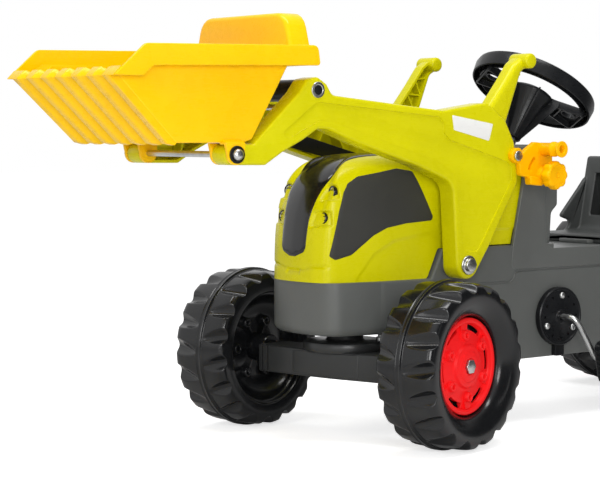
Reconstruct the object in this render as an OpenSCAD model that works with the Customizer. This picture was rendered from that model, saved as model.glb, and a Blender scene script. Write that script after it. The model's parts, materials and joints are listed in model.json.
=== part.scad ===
/* [Overall] */
// Distance from the front axle to the rear axle
wheelbase = 735; // [650:5:800]
// Steered angle of the front axle as it stands, to the left
steer_rest = 13.14; // [0:0.01:18]
// Turns of the steering wheel for one turn of the front axle
steer_ratio = 3; // [2:0.5:3]

/* [Wheels] */
// Radius of a front tyre
front_tyre_r = 112.5; // [95:0.5:125]
// Width of a front tyre
front_tyre_w = 84; // [70:1:90]
// Distance between the middles of the front tyres
front_track = 352; // [340:1:400]
// Radius of a rear tyre
rear_tyre_r = 153; // [130:1:165]
// Width of a rear tyre
rear_tyre_w = 96; // [80:1:105]
// Distance between the middles of the rear tyres
rear_track = 366; // [350:1:420]
// Radius of the opening in a front tyre that the rim fills
front_rim_r = 65; // [55:1:75]
// Radius of the opening in a rear tyre that the rim fills
rear_rim_r = 92; // [75:1:105]
// Wall of a blow-moulded tyre
tyre_wall = 5; // [3:0.5:8]
// Radius of the hub of a rim
hub_r = 18; // [15:0.5:24]

/* [Axles] */
// Radius of the front axle rod
front_rod_r = 5; // [4:0.5:7]
// Radius of the rear axle rod
rear_rod_r = 6; // [5:0.5:8]
// Radius of the upright pin that the front axle turns on
kingpin_r = 9; // [7:0.5:12]
// Height of the front axle beam
beam_h = 37; // [32:1:44]

/* [Chassis] */
// Half the width of the chassis box
chassis_half = 80; // [76:0.5:82]
// Wall of the moulded covers
wall = 4; // [3:0.5:6]
// Height of the chassis box's lower edge over the front axle
box_bottom = 146; // [142:1:155]
// Height of the seam between chassis and hood
seam_z = 218; // [205:1:225]
// Height of the deck behind the seam
deck_z = 258; // [250:1:265]
// Height of the saddle that the seat slides on
saddle_z = 250; // [240:1:257]
// Distance from the rear axle to the end of the chassis
tail_over = 127; // [100:1:140]

/* [Hood] */
// Half the width of the hood
hood_half = 75; // [70:0.5:76]
// Height of the hood's top at its back edge
hood_top = 397; // [380:1:410]
// Distance from the front axle forward to the nose
nose_x = 91; // [80:1:100]

/* [Steering] */
// Outer radius of the steering wheel
wheel_r = 93.4; // [80:0.2:105]
// Distance from the front axle back to the middle of the steering wheel
wheel_back = 360.5; // [340:0.5:370]
// Height of the middle of the steering wheel
wheel_z = 488.5; // [470:0.5:505]
// Tilt of the steering column from upright
column_tilt = 31; // [27:0.5:34]
// Radius of the steering column
column_r = 8; // [6:0.5:10]

/* [Loader] */
// Distance between the middles of the two loader arms
arm_spacing = 197.2; // [192:0.1:206]
// Thickness of a loader arm
arm_t = 29; // [22:0.5:30]
// Radius of the rod that the loader swings on
pivot_r = 5; // [4:0.5:7]
// Radius of the tube that joins the arms at their elbows
tube_r = 9; // [7:0.5:11]
// Radius of the rod that carries the bucket
bucket_rod_r = 4; // [3:0.5:6]

/* [Bucket] */
// Width of the bucket over its rim
bucket_w = 260; // [255:1:300]
// How far the rim stands out over the bucket's body on each side
rim_step = 15.5; // [12:0.5:20]
// Wall of the bucket
bucket_wall = 4; // [3:0.5:6]
// Height of the guard behind the bucket, above its rim
guard_h = 40; // [30:1:55]
// Number of ribs under the bucket's sloping floor
rib_count = 7; // [5:1:9]
// Width of each of those ribs
rib_w = 14; // [8:1:18]

/* [Seat] */
// Width of the seat over its side wings
seat_w = 224; // [190:1:240]
// Height of the top of the backrest
back_top = 378; // [350:1:400]

/* [Drive] */
// Distance from the front axle back to the crank
crank_back = 325; // [310:1:340]
// Height of the crank's axis
crank_z = 153; // [145:1:165]
// Radius of the crank rod
crank_r = 5; // [4:0.5:6]
// Throw of the crank
crank_throw = 80; // [60:1:90]
// Angle of the left pedal, behind straight down
crank_angle = 35; // [0:1:60]
// Radius of the chain's path round the chainring
chainring_r = 36; // [30:1:42]
// Radius of the chain's path round the sprocket
sprocket_r = 30; // [24:1:36]

/* [Hitch] */
// Radius of the hole for the hitch pin
hitch_hole_r = 8; // [5:0.5:12]
// Thickness of the hitch plate
hitch_t = 14; // [10:1:20]
// Reach of the hitch behind the chassis
hitch_reach = 63; // [50:1:80]

/* [Fits] */
// Radial clearance of a shaft that turns in a hole
run = 0.05; // [0.02:0.01:0.1]
// Gap between pieces that move past each other
gap = 0.4; // [0.3:0.1:1]

/* [Hidden] */
$fn = 64;

// Ends of the chassis and the hitch, from the front axle
chassis_tail = wheelbase + tail_over;
hitch_tail = chassis_tail + hitch_reach;

lime = "#d6d100";
yellow = "#ffd400";
grey = "#5c5e5a";
black = "#2d2e30";
steel = "#c8c8c8";
red = "#f02828";

// Bucket in side view: its wide rim from the lip back, and the narrower body under it
lip = [447.7, 483.8];
rim_out = [lip, [402.5, 521], [152, 525], [147, 501], [391, 496], [405.7, 483.4]];
body_out = [[434.3, 484.5], [402, 503], [184, 503], [236, 409], [250, 404], [349.5, 404]];
rim_z = rim_out[2][1];

// Everything below is measured from the front axle; this centres the whole on its own length
axle_x = (hitch_tail - lip[0]) / 2;

// Loader points, in side view
pivot = [-122.8, 236.8];
elbow = [135.6, 470.3];
wrist = [266.3, 389.5];
grip = [-236.7, 515];
grip_r = 10.5;
arm_inner = arm_spacing / 2 - arm_t / 2;
arm_outer = arm_spacing / 2 + arm_t / 2;
nose_r = 13;
arm_wall = 4;
arm_out = [
    [wrist[0], wrist[1] - nose_r], [217, 376], [190, 392], [160, 406], [134, 421], [116, 420], [68, 402],
    [-36, 371.5], [-94, 347], [-107, 254], [-122, 219], [-141, 227], [-164, 262], [-215, 346], [-215, 362],
    [-209, 403], [-192, 431], [-228, 500], [-243, 508], [-231, 523], [-203, 509.5], [-146, 456],
    [-78, 445.5], [111, 464], [120, 478], [135, 487], [152, 484], [164, 468], [236, 402],
    [wrist[0], wrist[1] + nose_r]
];
arm_round = [
    0, 4, 12, 12, 8, 8, 12, 20, 6, 12, 12, 8, 8, 8, 8, 20, 12, 3, 3, 3, 3, 20, 20, 12, 8, 8, 8, 10, 8, 0
];
// Boss radius round the pins of an arm, and the thin rod just under the elbow tube
boss_r = 13;
stop_at = [148, 449];
stop_r = 3.5;
rod_end = arm_outer + gap + 5;

// Lock on the left arm, in side view
lock_ear = [-206, 384];
lock_spool = [-255, 393];
lock_axis = [-257, 357];
lock_plate_t = 8;
lock_t = 20;
lock_bolt_r = 4;
lock_stud_r = 6;
knob_r = 20;
knob_t = 16;

// Steering geometry
wheel_band = 24;
// How far the spokes and the hub's cap lie below the rim's top, and the column's end below the cap
wheel_dish = 14;
cap_t = 4;
column_in = wheel_dish + cap_t + 10;
// The beam below its axle, and the round table on it
beam_low = 28;
table_r = 58;
table_t = 12;
sw = [-wheel_back, 0, wheel_z];
link_z = 139;
link_t = 6;
link_lug = [0, 66];
link_pin_r = 5;
link_pin_in = 8;
link_drop = (wheel_z - link_z) / cos(column_tilt);
pin_foot = link_drop + 20;
drop_arm_z = link_drop - 28;
drop_arm_t = 8;
drop_pin_r = 4;
// Length of the column's arm that keeps the drag link level over the whole steering range
drop_arm = norm(link_lug) * cos(column_tilt) / steer_ratio * 1.18;
wheel_turn = steer_rest * steer_ratio;
lug_now = [
    link_lug[0] * cos(steer_rest) - link_lug[1] * sin(steer_rest),
    link_lug[0] * sin(steer_rest) + link_lug[1] * cos(steer_rest)
];
column_hit = [
    -wheel_back + (wheel_z - link_z) * tan(column_tilt) - drop_arm / cos(column_tilt) * sin(wheel_turn),
    drop_arm * cos(wheel_turn)
];
spoke_angle = 149;

// Chassis outline in side view, front to back over the top
chassis_out = [
    [nose_x + 1, box_bottom], [nose_x + 1, seam_z], [-87, seam_z], [-107, deck_z], [-321, deck_z],
    [-321, saddle_z], [35 - wheelbase, saddle_z], [-chassis_tail, 228], [-chassis_tail, 150],
    [-75 - wheelbase, 108],
    [-560, 96], [-250, 95], [-160, box_bottom]
];
hood_out = [
    [nose_x - 2, seam_z], [nose_x, 265], [nose_x - 6, 312], [nose_x - 15, 342], [nose_x - 34, 368],
    [nose_x - 72, 382], [-60, 390], [-273, hood_top], [-246.4, deck_z], [-107, deck_z], [-87, seam_z]
];
pillar_out = [
    hood_out[8], hood_out[7], [-284, hood_top + 1], [-318, 356], [-318, 312], [-307, 268], [-309, deck_z]
];
hood_round = [0, 40, 60, 50, 40, 60, 0, 0, 0, 0, 0];
hood_back = 300;
lamp_r = 9;
pillar_half = chassis_half;
// Front of the window wraps round the nose
window_out = [
    [74.8, 253.5], [67, 248.5], [44, 254.7], [32.8, 263.5], [10.8, 279.6], [-11.3, 289.1], [-44.8, 294.1],
    [-90.5, 296.9], [-92.8, 302.2], [-61.5, 364], [-35.5, 368], [33, 357], [49.5, 348], [58, 336], [64, 313]
];

// Seat, in side view
rail_half = 30;
rail_h = 6;
rail_front = -440;
rail_back = -700;
seat_front = -450;
seat_back = -622;
pan_z = saddle_z + 12;
back_foot = -560;
back_lean = -584;
back_t = 16;
seat_wall = 5;
seat_screw_x = -520;

rear_x = -wheelbase;
crank_x = -crank_back;
pedal_pin = [crank_x - crank_throw * sin(crank_angle), crank_z - crank_throw * cos(crank_angle)];
plate_r = 42;
plate_t = 10;
screw_circle = 30;
chain_y = 30;
chain_t = 6;
chain_pitch = 12.7;
// Extra reach of the crank's bearing, and its screws
bearing_r = crank_r + 9;
screw_angles = [95, 215, 335];
front_hub_out = 24;
rear_hub_out = 30;
rim_edge = tyre_wall + 4;
rim_bosses = 6;
nut_t = 9;
crank_face = chassis_half + plate_t + 6;
crank_out = crank_face + 22;
pedal_len = 74;
kingpin_in = 50;
front_seat = front_track / 2 - front_tyre_w / 2;
rear_seat = rear_track / 2 - rear_tyre_w / 2;

function unit(v) = v / norm(v);
function left_of(a, b) = unit([a[1] - b[1], b[0] - a[0]]);

// A closed outline moved inwards by t; the outline runs anticlockwise
function inset(p, t) = [
    for (i = [0 : len(p) - 1])
        let (
            a = p[(i + len(p) - 1) % len(p)], b = p[i], c = p[(i + 1) % len(p)],
            n = left_of(a, b), m = left_of(b, c)
        )
        b + (n + m) * t / (1 + n * m)
];
function backwards(p) = [for (i = [len(p) - 1 : -1 : 0]) p[i]];

// One corner of an outline as an arc of radius r, or the bare corner
function corner(a, b, c, r, n) = r == 0 ? [b] :
    let (
        u = unit(a - b), w = unit(c - b), half = acos(u * w) / 2, m = b + unit(u + w) * r / sin(half),
        s = b + u * r / tan(half) - m, e = b + w * r / tan(half) - m,
        from = atan2(s[1], s[0]), turn = (atan2(e[1], e[0]) - from + 540) % 360 - 180
    )
    [for (i = [0 : n]) m + r * [cos(from + turn * i / n), sin(from + turn * i / n)]];
function rounded(p, r, n = 4) = [
    for (i = [0 : len(p) - 1])
        each corner(p[(i + len(p) - 1) % len(p)], p[i], p[(i + 1) % len(p)], r[i], n)
];

// How far forward the nose reaches at a given side distance
function nose_at(y, front, half) = front - 48 * pow(abs(y) / half, 4.5);
function plan_outline(front, half, tail) = [
    [-tail, -half],
    each [for (i = [-12 : 12]) [nose_at(half * i / 12, front, half), half * i / 12]],
    [-tail, half]
];

module place() {
    translate([axle_x, 0, 0]) children();
}

// A flat piece cut to a side-view outline, from y0 to y1
module slab(points, y0, y1) {
    translate([0, y1, 0]) rotate([90, 0, 0]) linear_extrude(y1 - y0) polygon(points);
}

module bar_y(at, r, y0, y1) {
    translate([at[0], y1, at[1]]) rotate([90, 0, 0]) cylinder(r = r, h = y1 - y0);
}

module both_sides() {
    children();
    mirror([0, 1, 0]) children();
}

module steered() {
    translate([0, 0, front_tyre_r]) rotate([0, 0, steer_rest]) children();
}

module on_column() {
    translate(sw) rotate([0, -column_tilt, 0]) children();
}

// Chassis: an upside-down trough, rounded at the nose
module chassis_body() {
    tops = inset(chassis_out, wall);
    trough = [
        [nose_x + wall, 0], [nose_x + wall, tops[1][1]],
        each [for (i = [2 : 7]) tops[i]],
        [wall - chassis_tail, 0]
    ];
    color(grey) place() difference() {
        union() {
            difference() {
                intersection() {
                    slab(chassis_out, -chassis_half, chassis_half);
                    linear_extrude(2 * deck_z) polygon(plan_outline(nose_x + 1, chassis_half, chassis_tail));
                }
                intersection() {
                    slab(trough, wall - chassis_half, chassis_half - wall);
                    linear_extrude(2 * deck_z)
                        polygon(plan_outline(nose_x + 1 - wall, chassis_half - wall, chassis_tail - wall));
                }
            }
            translate([0, 0, box_bottom]) cylinder(r = kingpin_r + 12, h = seam_z - box_bottom - 1);
            both_sides() bar_y(pivot, boss_r + 5, chassis_half - wall - 1, arm_inner - gap);
        }
        translate([0, 0, box_bottom - 1]) cylinder(r = kingpin_r, h = kingpin_in + 1);
        bar_y(pivot, pivot_r, -arm_outer, arm_outer);
        both_sides() bar_y([crank_x, crank_z], bearing_r, 0, chassis_half + 1);
        both_sides() bar_y([rear_x, rear_tyre_r], rear_rod_r + 6, 0, chassis_half + 1);
        on_column() translate([0, 0, -link_drop]) cylinder(r = column_r + 4, h = link_drop);
    }
}

// A side-view outline trimmed to the hood's plan and front view, grown or shrunk by d
module hood_form(side_view, d) {
    top = hood_top + 4 + d;
    half = hood_half + d;
    shoulder = 345;
    intersection() {
        slab(side_view, -half, half);
        linear_extrude(2 * top) polygon(plan_outline(nose_x + d, half, hood_back));
        translate([-hood_back, 0, 0]) rotate([90, 0, 90]) linear_extrude(2 * hood_back) polygon(rounded(
            [[half, 200], [half, shoulder], [half - 22, top],
             [22 - half, top], [-half, shoulder], [-half, 200]],
            [0, 60, 24, 24, 60, 0], 6
        ));
    }
}
module hood_skin(d) {
    hood_form(rounded(inset(hood_out, -d), hood_round, 5), d);
}

// Hollow hood, open below and behind
module hood() {
    p = inset(hood_out, wall);
    hollow = [
        [p[0][0], 200], each [for (i = [0 : 6]) p[i]], [-hood_back, p[7][1]], [-hood_back, 200]
    ];
    color(lime) place() difference() {
        hood_skin(0);
        hood_form(rounded(hollow, [0, 0, 40, 60, 50, 40, 60, 0, 0, 0], 5), -wall);
    }
}

// Dash and pillar that the steering column comes out of
module dash_pillar() {
    p = inset(backwards(pillar_out), wall);
    color(grey) place() difference() {
        slab(backwards(pillar_out), -pillar_half, pillar_half);
        slab(
            [each [for (i = [1 : 5]) p[i]], [p[5][0], deck_z - 1], [p[0][0], deck_z - 1]],
            wall - pillar_half, pillar_half - wall
        );
        on_column() translate([0, 0, -link_drop]) cylinder(r = column_r + run, h = link_drop);
    }
}

// Gloss strip over the nose, from hood top to the point under the badge place
module grille_strip() {
    color("#191919") place() difference() {
        intersection() {
            hood_skin(1.6);
            translate([-20, 0, 0]) rotate([90, 0, 90]) linear_extrude(150) polygon(
                [[14, 252], [24, 262], [27, 340], [36, 420], [-36, 420], [-27, 340], [-24, 262], [-14, 252]]
            );
        }
        hood_skin(0);
    }
}

// Two round lamps at a front corner of the hood, one over the other
module lamp_pair() {
    translate([60, 56, 336]) rotate([0, 68, 38]) cylinder(r = lamp_r, h = 24);
    translate([68, 58, 304]) rotate([0, 80, 38]) cylinder(r = lamp_r, h = 24);
}

// Dark window panel that lies on the hood's side and front corner
module side_window(side) {
    color("#464642") place() mirror([0, side > 0 ? 0 : 1, 0]) difference() {
        intersection() {
            hood_skin(1.5);
            slab(backwards(window_out), hood_half / 2, 2 * hood_half);
        }
        hood_skin(0);
        lamp_pair();
    }
}
module side_window_left() { side_window(1); }
module side_window_right() { side_window(-1); }

module headlamps() {
    color("#e8e8e0") place() both_sides() difference() {
        intersection() {
            hood_skin(2.4);
            lamp_pair();
        }
        hood_skin(0);
    }
}

module kingpin() {
    foot = front_tyre_r - beam_low - 6;
    color(steel) place() translate([0, 0, foot]) cylinder(r = kingpin_r, h = box_bottom + kingpin_in - foot);
}

module loader_pivot_rod() {
    color(steel) place() bar_y(pivot, pivot_r, -arm_outer - gap, arm_outer + gap);
}

// Cap nuts on the ends of the loader's pivot rod
module pivot_caps() {
    color(steel) place() both_sides() {
        bar_y(pivot, boss_r, arm_outer + gap, arm_outer + gap + 3);
        bar_y(pivot, 9, arm_outer + gap + 3, arm_outer + gap + 8);
    }
}

// Bearing plate of the crank, with a strap down to the chassis edge
module crank_plate(side) {
    strap_z = 96;
    color(black) place() mirror([0, side > 0 ? 0 : 1, 0]) difference() {
        union() {
            bar_y([crank_x, crank_z], plate_r, chassis_half, chassis_half + plate_t);
            bar_y([crank_x, crank_z], bearing_r, chassis_half - wall, chassis_half);
            bar_y([crank_x, crank_z], crank_r + 6, chassis_half + plate_t, crank_face);
            translate([crank_x - 9, chassis_half, strap_z]) cube([18, plate_t - 2, crank_z - strap_z]);
        }
        bar_y([crank_x, crank_z], crank_r + run, 0, 2 * chassis_half);
    }
}
module crank_plate_left() { crank_plate(1); }
module crank_plate_right() { crank_plate(-1); }

module plate_screws() {
    color(steel) place() both_sides() for (a = screw_angles)
        bar_y([crank_x, crank_z] + screw_circle * [cos(a), sin(a)], 5,
              chassis_half + plate_t, chassis_half + plate_t + 3);
}

// Sleeves that the rear axle turns in
module rear_axle_bushes() {
    color(black) place() both_sides() difference() {
        union() {
            bar_y([rear_x, rear_tyre_r], rear_rod_r + 6, chassis_half - wall - 4, rear_seat - gap);
            bar_y([rear_x, rear_tyre_r], rear_rod_r + 14, chassis_half, chassis_half + 6);
        }
        bar_y([rear_x, rear_tyre_r], rear_rod_r + run, 0, 400);
    }
}

// Drawbar plate behind the chassis, with a round eye
module tow_hitch() {
    eye_r = hitch_hole_r + 16;
    z0 = 172;
    foot_t = 8;
    color(black) place() difference() {
        union() {
            translate([eye_r - hitch_tail, 0, z0]) cylinder(r = eye_r, h = hitch_t);
            translate([eye_r - hitch_tail, -eye_r, z0])
                cube([hitch_tail - eye_r - chassis_tail, 2 * eye_r, hitch_t]);
            translate([-chassis_tail - foot_t, -eye_r - 10, z0 - 16])
                cube([foot_t, 2 * eye_r + 20, hitch_t + 32]);
        }
        translate([eye_r - hitch_tail, 0, z0 - 1]) cylinder(r = hitch_hole_r, h = hitch_t + 2);
    }
}

// Outline that runs round both wheels of the drive, grown by a given amount
module chain_path(grow, t) {
    big = [crank_x, crank_z];
    small = [rear_x, rear_tyre_r];
    d = small - big;
    heading = atan2(d[1], d[0]);
    lean = acos((chainring_r - sprocket_r) / norm(d));
    dirs = [heading + lean, heading - lean];
    slab(
        [for (a = dirs) big + (chainring_r + grow) * [cos(a), sin(a)],
         for (a = backwards(dirs)) small + (sprocket_r + grow) * [cos(a), sin(a)]],
        chain_y - t / 2, chain_y + t / 2
    );
    bar_y(big, chainring_r + grow, chain_y - t / 2, chain_y + t / 2);
    bar_y(small, sprocket_r + grow, chain_y - t / 2, chain_y + t / 2);
}

// Chain as one closed loop
module drive_chain() {
    color("#707070") place() difference() {
        chain_path(6, chain_t);
        chain_path(0, chain_t + 2);
    }
}

module seat_rail() {
    color(grey) place() translate([rail_back, -rail_half, saddle_z])
        cube([rail_front - rail_back, 2 * rail_half, rail_h]);
}

// Front axle beam with a round neck under the chassis
module axle_beam() {
    end = front_seat - 6;
    top = beam_h - beam_low;
    color(black) place() steered() difference() {
        union() {
            translate([0, 0, -beam_low]) linear_extrude(beam_h) polygon(rounded(
                [[40, 6 - end], [47, 0], [40, end - 6], [24, end],
                 [-18, end], [-24, 0], [-18, -end], [24, -end]],
                [10, 200, 10, 6, 6, 60, 6, 6]
            ));
            translate([0, 0, top - 1]) cylinder(r = table_r, h = table_t + 1);
            translate([0, 0, top]) cylinder(r = kingpin_r + 16, h = box_bottom - front_tyre_r - top - gap);
            translate([link_lug[0], link_lug[1], 0])
                cylinder(r = 2 * link_pin_r, h = link_z - front_tyre_r - link_t / 2 - gap);
        }
        translate([0, 0, -beam_h]) cylinder(r = kingpin_r + run, h = 3 * beam_h);
        both_sides() bar_y([0, 0], front_rod_r, kingpin_r + 4, front_track);
        translate([link_lug[0], link_lug[1], link_pin_in]) cylinder(r = link_pin_r, h = beam_h);
    }
}

// Two stub rods, one to each wheel
module front_axle_rod() {
    color(steel) place() steered() both_sides()
        bar_y([0, 0], front_rod_r, kingpin_r + 4, front_track / 2 + front_hub_out + 6);
}

// Hexagon nut that covers the end of a rod
module nut(r, y0, rod_r) {
    difference() {
        translate([0, y0 + nut_t, 0]) rotate([90, 0, 0]) cylinder(r = r, h = nut_t, $fn = 6);
        bar_y([0, 0], rod_r, 0, y0 + 6 - gap);
    }
}

module front_nuts() {
    color(steel) place() steered() both_sides()
        nut(2 * front_rod_r, front_track / 2 + front_hub_out + gap, front_rod_r);
}

module link_pin() {
    head_z = link_z - front_tyre_r + link_t / 2 + gap;
    color(steel) place() steered() translate([link_lug[0], link_lug[1], 0]) {
        translate([0, 0, link_pin_in]) cylinder(r = link_pin_r, h = head_z - link_pin_in);
        translate([0, 0, head_z]) cylinder(r = link_pin_r + 3, h = 3);
    }
}

// Rod from the axle to the column's arm, with a wide eye that leaves the arm's pin free
module drag_link() {
    d = column_hit - lug_now;
    eye = 11;
    color(steel) place() translate([lug_now[0], lug_now[1], link_z - link_t / 2])
        rotate([0, 0, atan2(d[1], d[0])]) difference() {
            union() {
                cylinder(r = 2 * link_pin_r, h = link_t);
                translate([0, -7, 0]) cube([norm(d) - eye, 14, link_t]);
                translate([norm(d), 0, 0]) cylinder(r = eye + 6, h = link_t);
            }
            translate([0, 0, -1]) cylinder(r = link_pin_r + run, h = link_t + 2);
            translate([norm(d), 0, -1]) cylinder(r = eye, h = link_t + 2);
        }
}

// Column with an arm at its foot that carries the drag link's pin
module steering_column() {
    foot = drop_arm_z + drop_arm_t / 2;
    color(steel) place() on_column() {
        translate([0, 0, -foot]) cylinder(r = column_r, h = foot - column_in);
        rotate([0, 0, 90 + wheel_turn]) {
            translate([0, -6, -foot]) cube([drop_arm, 12, drop_arm_t]);
            translate([drop_arm, 0, -pin_foot]) cylinder(r = drop_pin_r, h = pin_foot - foot + drop_arm_t);
        }
    }
}

// Wheel: rim band, two wide bow-tie spokes and a long hub
module steering_wheel() {
    inner = wheel_r - 17;
    waist = 15;
    flare = 36;
    spoke_low = 12;
    hub_foot = wheel_dish + 72;
    hub_h = hub_foot - wheel_dish - cap_t;
    color(black) place() on_column() difference() {
        union() {
            rotate_extrude() polygon(rounded(
                [[inner, -5], [inner + 3, -wheel_band], [wheel_r - 2, -wheel_band], [wheel_r, -8],
                 [wheel_r - 6, 0], [inner + 4, 0]],
                [2, 2, 4, 6, 4, 2]
            ));
            rotate([0, 0, spoke_angle]) translate([0, 0, -wheel_dish - spoke_low])
                linear_extrude(spoke_low - cap_t) polygon([
                    [-inner - 2, -flare], [-2 * waist, -waist], [2 * waist, -waist], [inner + 2, -flare],
                    [inner + 2, flare], [2 * waist, waist], [-2 * waist, waist], [-inner - 2, flare]
                ]);
            translate([0, 0, -hub_foot]) cylinder(r1 = 18, r2 = 32, h = hub_h);
        }
        rotate([0, 0, spoke_angle]) for (s = [-1, 1])
            translate([s * (inner - 12), 0, -2 * wheel_band]) cylinder(r = 8, h = 2 * wheel_band);
        translate([0, 0, -hub_foot - 1]) cylinder(r = column_r, h = hub_foot + 1 - column_in);
    }
}

module steering_cap() {
    color(grey) place() on_column() translate([0, 0, -wheel_dish - cap_t])
        cylinder(r1 = 26, r2 = 20, h = cap_t);
}

// Half section of a hollow tyre, from the inner opening round the tread to the rim's seat
module tyre_profile(r, w, seat_r) {
    h = w / 2;
    seat_y = h * 0.64;
    side_r = r * 0.8;
    outer = [
        [seat_r, -h * 0.78], [side_r, -h * 0.98], [r * 0.93, -h], [r * 0.985, -h * 0.55], [r, 0],
        [r * 0.985, h * 0.55], [r * 0.93, h], [side_r, h * 0.98], [seat_r, seat_y]
    ];
    inner = [
        [seat_r, seat_y - rim_edge], [seat_r + 9, seat_y - rim_edge], [side_r, h * 0.98 - tyre_wall],
        [r * 0.92 - tyre_wall, h - tyre_wall - 2], [r * 0.97 - tyre_wall, 0],
        [r * 0.92 - tyre_wall, 2 + tyre_wall - h], [side_r, tyre_wall - h * 0.98],
        [seat_r, tyre_wall - h * 0.78]
    ];
    polygon(concat(outer, inner));
}

module wheel_ring(r, w, seat_r, side) {
    mirror([0, side > 0 ? 0 : 1, 0]) rotate([-90, 0, 0]) rotate_extrude($fn = 96) tyre_profile(r, w, seat_r);
}

// Rim: dished disc with six bosses, a flange that fills the tyre's opening, and a hub
module rim_body(w, seat_r, hub_out, bore_r, side) {
    face = w / 2 * 0.64;
    pitch = 360 / rim_bosses;
    mirror([0, side > 0 ? 0 : 1, 0]) rotate([-90, 0, 0]) difference() {
        union() {
            rotate_extrude($fn = 96) polygon([
                [hub_r - 3, face - 12], [seat_r - 14, face - 6], [seat_r - 9, face - rim_edge],
                [seat_r, face - rim_edge], [seat_r, face], [seat_r - 6, face + 1], [seat_r - 10, face - 1],
                [hub_r - 3, face - 6]
            ]);
            translate([0, 0, -w / 2]) cylinder(r = hub_r, h = w / 2 + hub_out);
            for (i = [0 : rim_bosses - 1])
                rotate([0, 0, (i + 0.5) * pitch]) translate([seat_r * 0.58, 0, face - 9])
                    cylinder(r = 9, h = 9);
        }
        translate([0, 0, -w]) cylinder(r = bore_r, h = 2 * w);
        for (i = [0 : rim_bosses - 1])
            rotate([0, 0, i * pitch]) translate([seat_r - 24, -5, 0]) cube([9, 10, w]);
    }
}

module front_wheel_at(side) {
    place() steered() translate([0, side * front_track / 2, 0]) children();
}
module rear_wheel_at(side) {
    place() translate([rear_x, side * rear_track / 2, rear_tyre_r]) children();
}
module front_tyre(side) {
    color(black) front_wheel_at(side) wheel_ring(front_tyre_r, front_tyre_w, front_rim_r, side);
}
module front_rim(side) {
    bore_r = front_rod_r + run;
    color(red) front_wheel_at(side) rim_body(front_tyre_w, front_rim_r, front_hub_out, bore_r, side);
}
module rear_tyre(side) {
    color(black) rear_wheel_at(side) wheel_ring(rear_tyre_r, rear_tyre_w, rear_rim_r, side);
}
// The left rear rim is fixed to the axle, the right one turns on it
module rear_rim(side) {
    bore_r = rear_rod_r + (side > 0 ? 0 : run);
    color(red) rear_wheel_at(side) rim_body(rear_tyre_w, rear_rim_r, rear_hub_out, bore_r, side);
}
module front_tyre_left() { front_tyre(1); }
module front_tyre_right() { front_tyre(-1); }
module front_rim_left() { front_rim(1); }
module front_rim_right() { front_rim(-1); }
module rear_tyre_left() { rear_tyre(1); }
module rear_tyre_right() { rear_tyre(-1); }
module rear_rim_left() { rear_rim(1); }
module rear_rim_right() { rear_rim(-1); }

module rear_axle() {
    reach = rear_track / 2 + rear_hub_out + 6;
    color(steel) place() bar_y([rear_x, rear_tyre_r], rear_rod_r, -reach, reach);
}

// Toothed wheel for the chain
module toothed(at, r, bore) {
    teeth = round(2 * PI * r / chain_pitch);
    difference() {
        union() {
            bar_y(at, r - gap, chain_y - 1.5, chain_y + 1.5);
            bar_y(at, bore + 7, chain_y - 8, chain_y + 8);
        }
        bar_y(at, bore, chain_y - 20, chain_y + 20);
        for (i = [0 : teeth - 1])
            bar_y(at + (r - gap) * [cos(360 * i / teeth), sin(360 * i / teeth)], 2.5,
                  chain_y - 2, chain_y + 2);
    }
}
module drive_sprocket() { color("#707070") place() toothed([rear_x, rear_tyre_r], sprocket_r, rear_rod_r); }
module chainring() { color("#707070") place() toothed([crank_x, crank_z], chainring_r, crank_r); }

module rear_nuts() {
    color(steel) place() translate([rear_x, 0, rear_tyre_r]) both_sides()
        nut(2 * rear_rod_r, rear_track / 2 + rear_hub_out + gap, rear_rod_r);
}

// Cranked rod: axle, two throws and two pedal pins
module crank_rod() {
    throw_r = crank_r + 1;
    over = crank_r + 2;
    color(steel) place() {
        bar_y([crank_x, crank_z], crank_r, -crank_out, crank_out);
        for (s = [-1, 1]) translate([crank_x, s * crank_out, crank_z])
            rotate([0, s > 0 ? 180 + crank_angle : crank_angle, 0]) {
                translate([0, 0, -over]) cylinder(r = throw_r, h = crank_throw + 2 * over);
                translate([0, 0, crank_throw]) rotate([-90 * s, 0, 0])
                    cylinder(r = crank_r, h = pedal_len + over + 6);
            }
    }
}

// Block pedal with round ends, turned on its pin
module pedal(side) {
    tip = [crank_x, crank_z] + side * (pedal_pin - [crank_x, crank_z]);
    half_t = 12;
    half_l = 34;
    y0 = crank_out + crank_r + 3;
    outline = [[half_t, -half_l], [half_t, half_l], [-half_t, half_l], [-half_t, -half_l]];
    color(black) place() translate([tip[0], 0, tip[1]]) mirror([0, side > 0 ? 0 : 1, 0]) rotate([0, 12, 0])
        difference() {
            slab(rounded(outline, [11, 11, 11, 11], 8), y0, y0 + pedal_len);
            bar_y([0, 0], crank_r + run, crank_out, crank_out + 2 * pedal_len);
        }
}
module pedal_left() { pedal(1); }
module pedal_right() { pedal(-1); }

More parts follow.
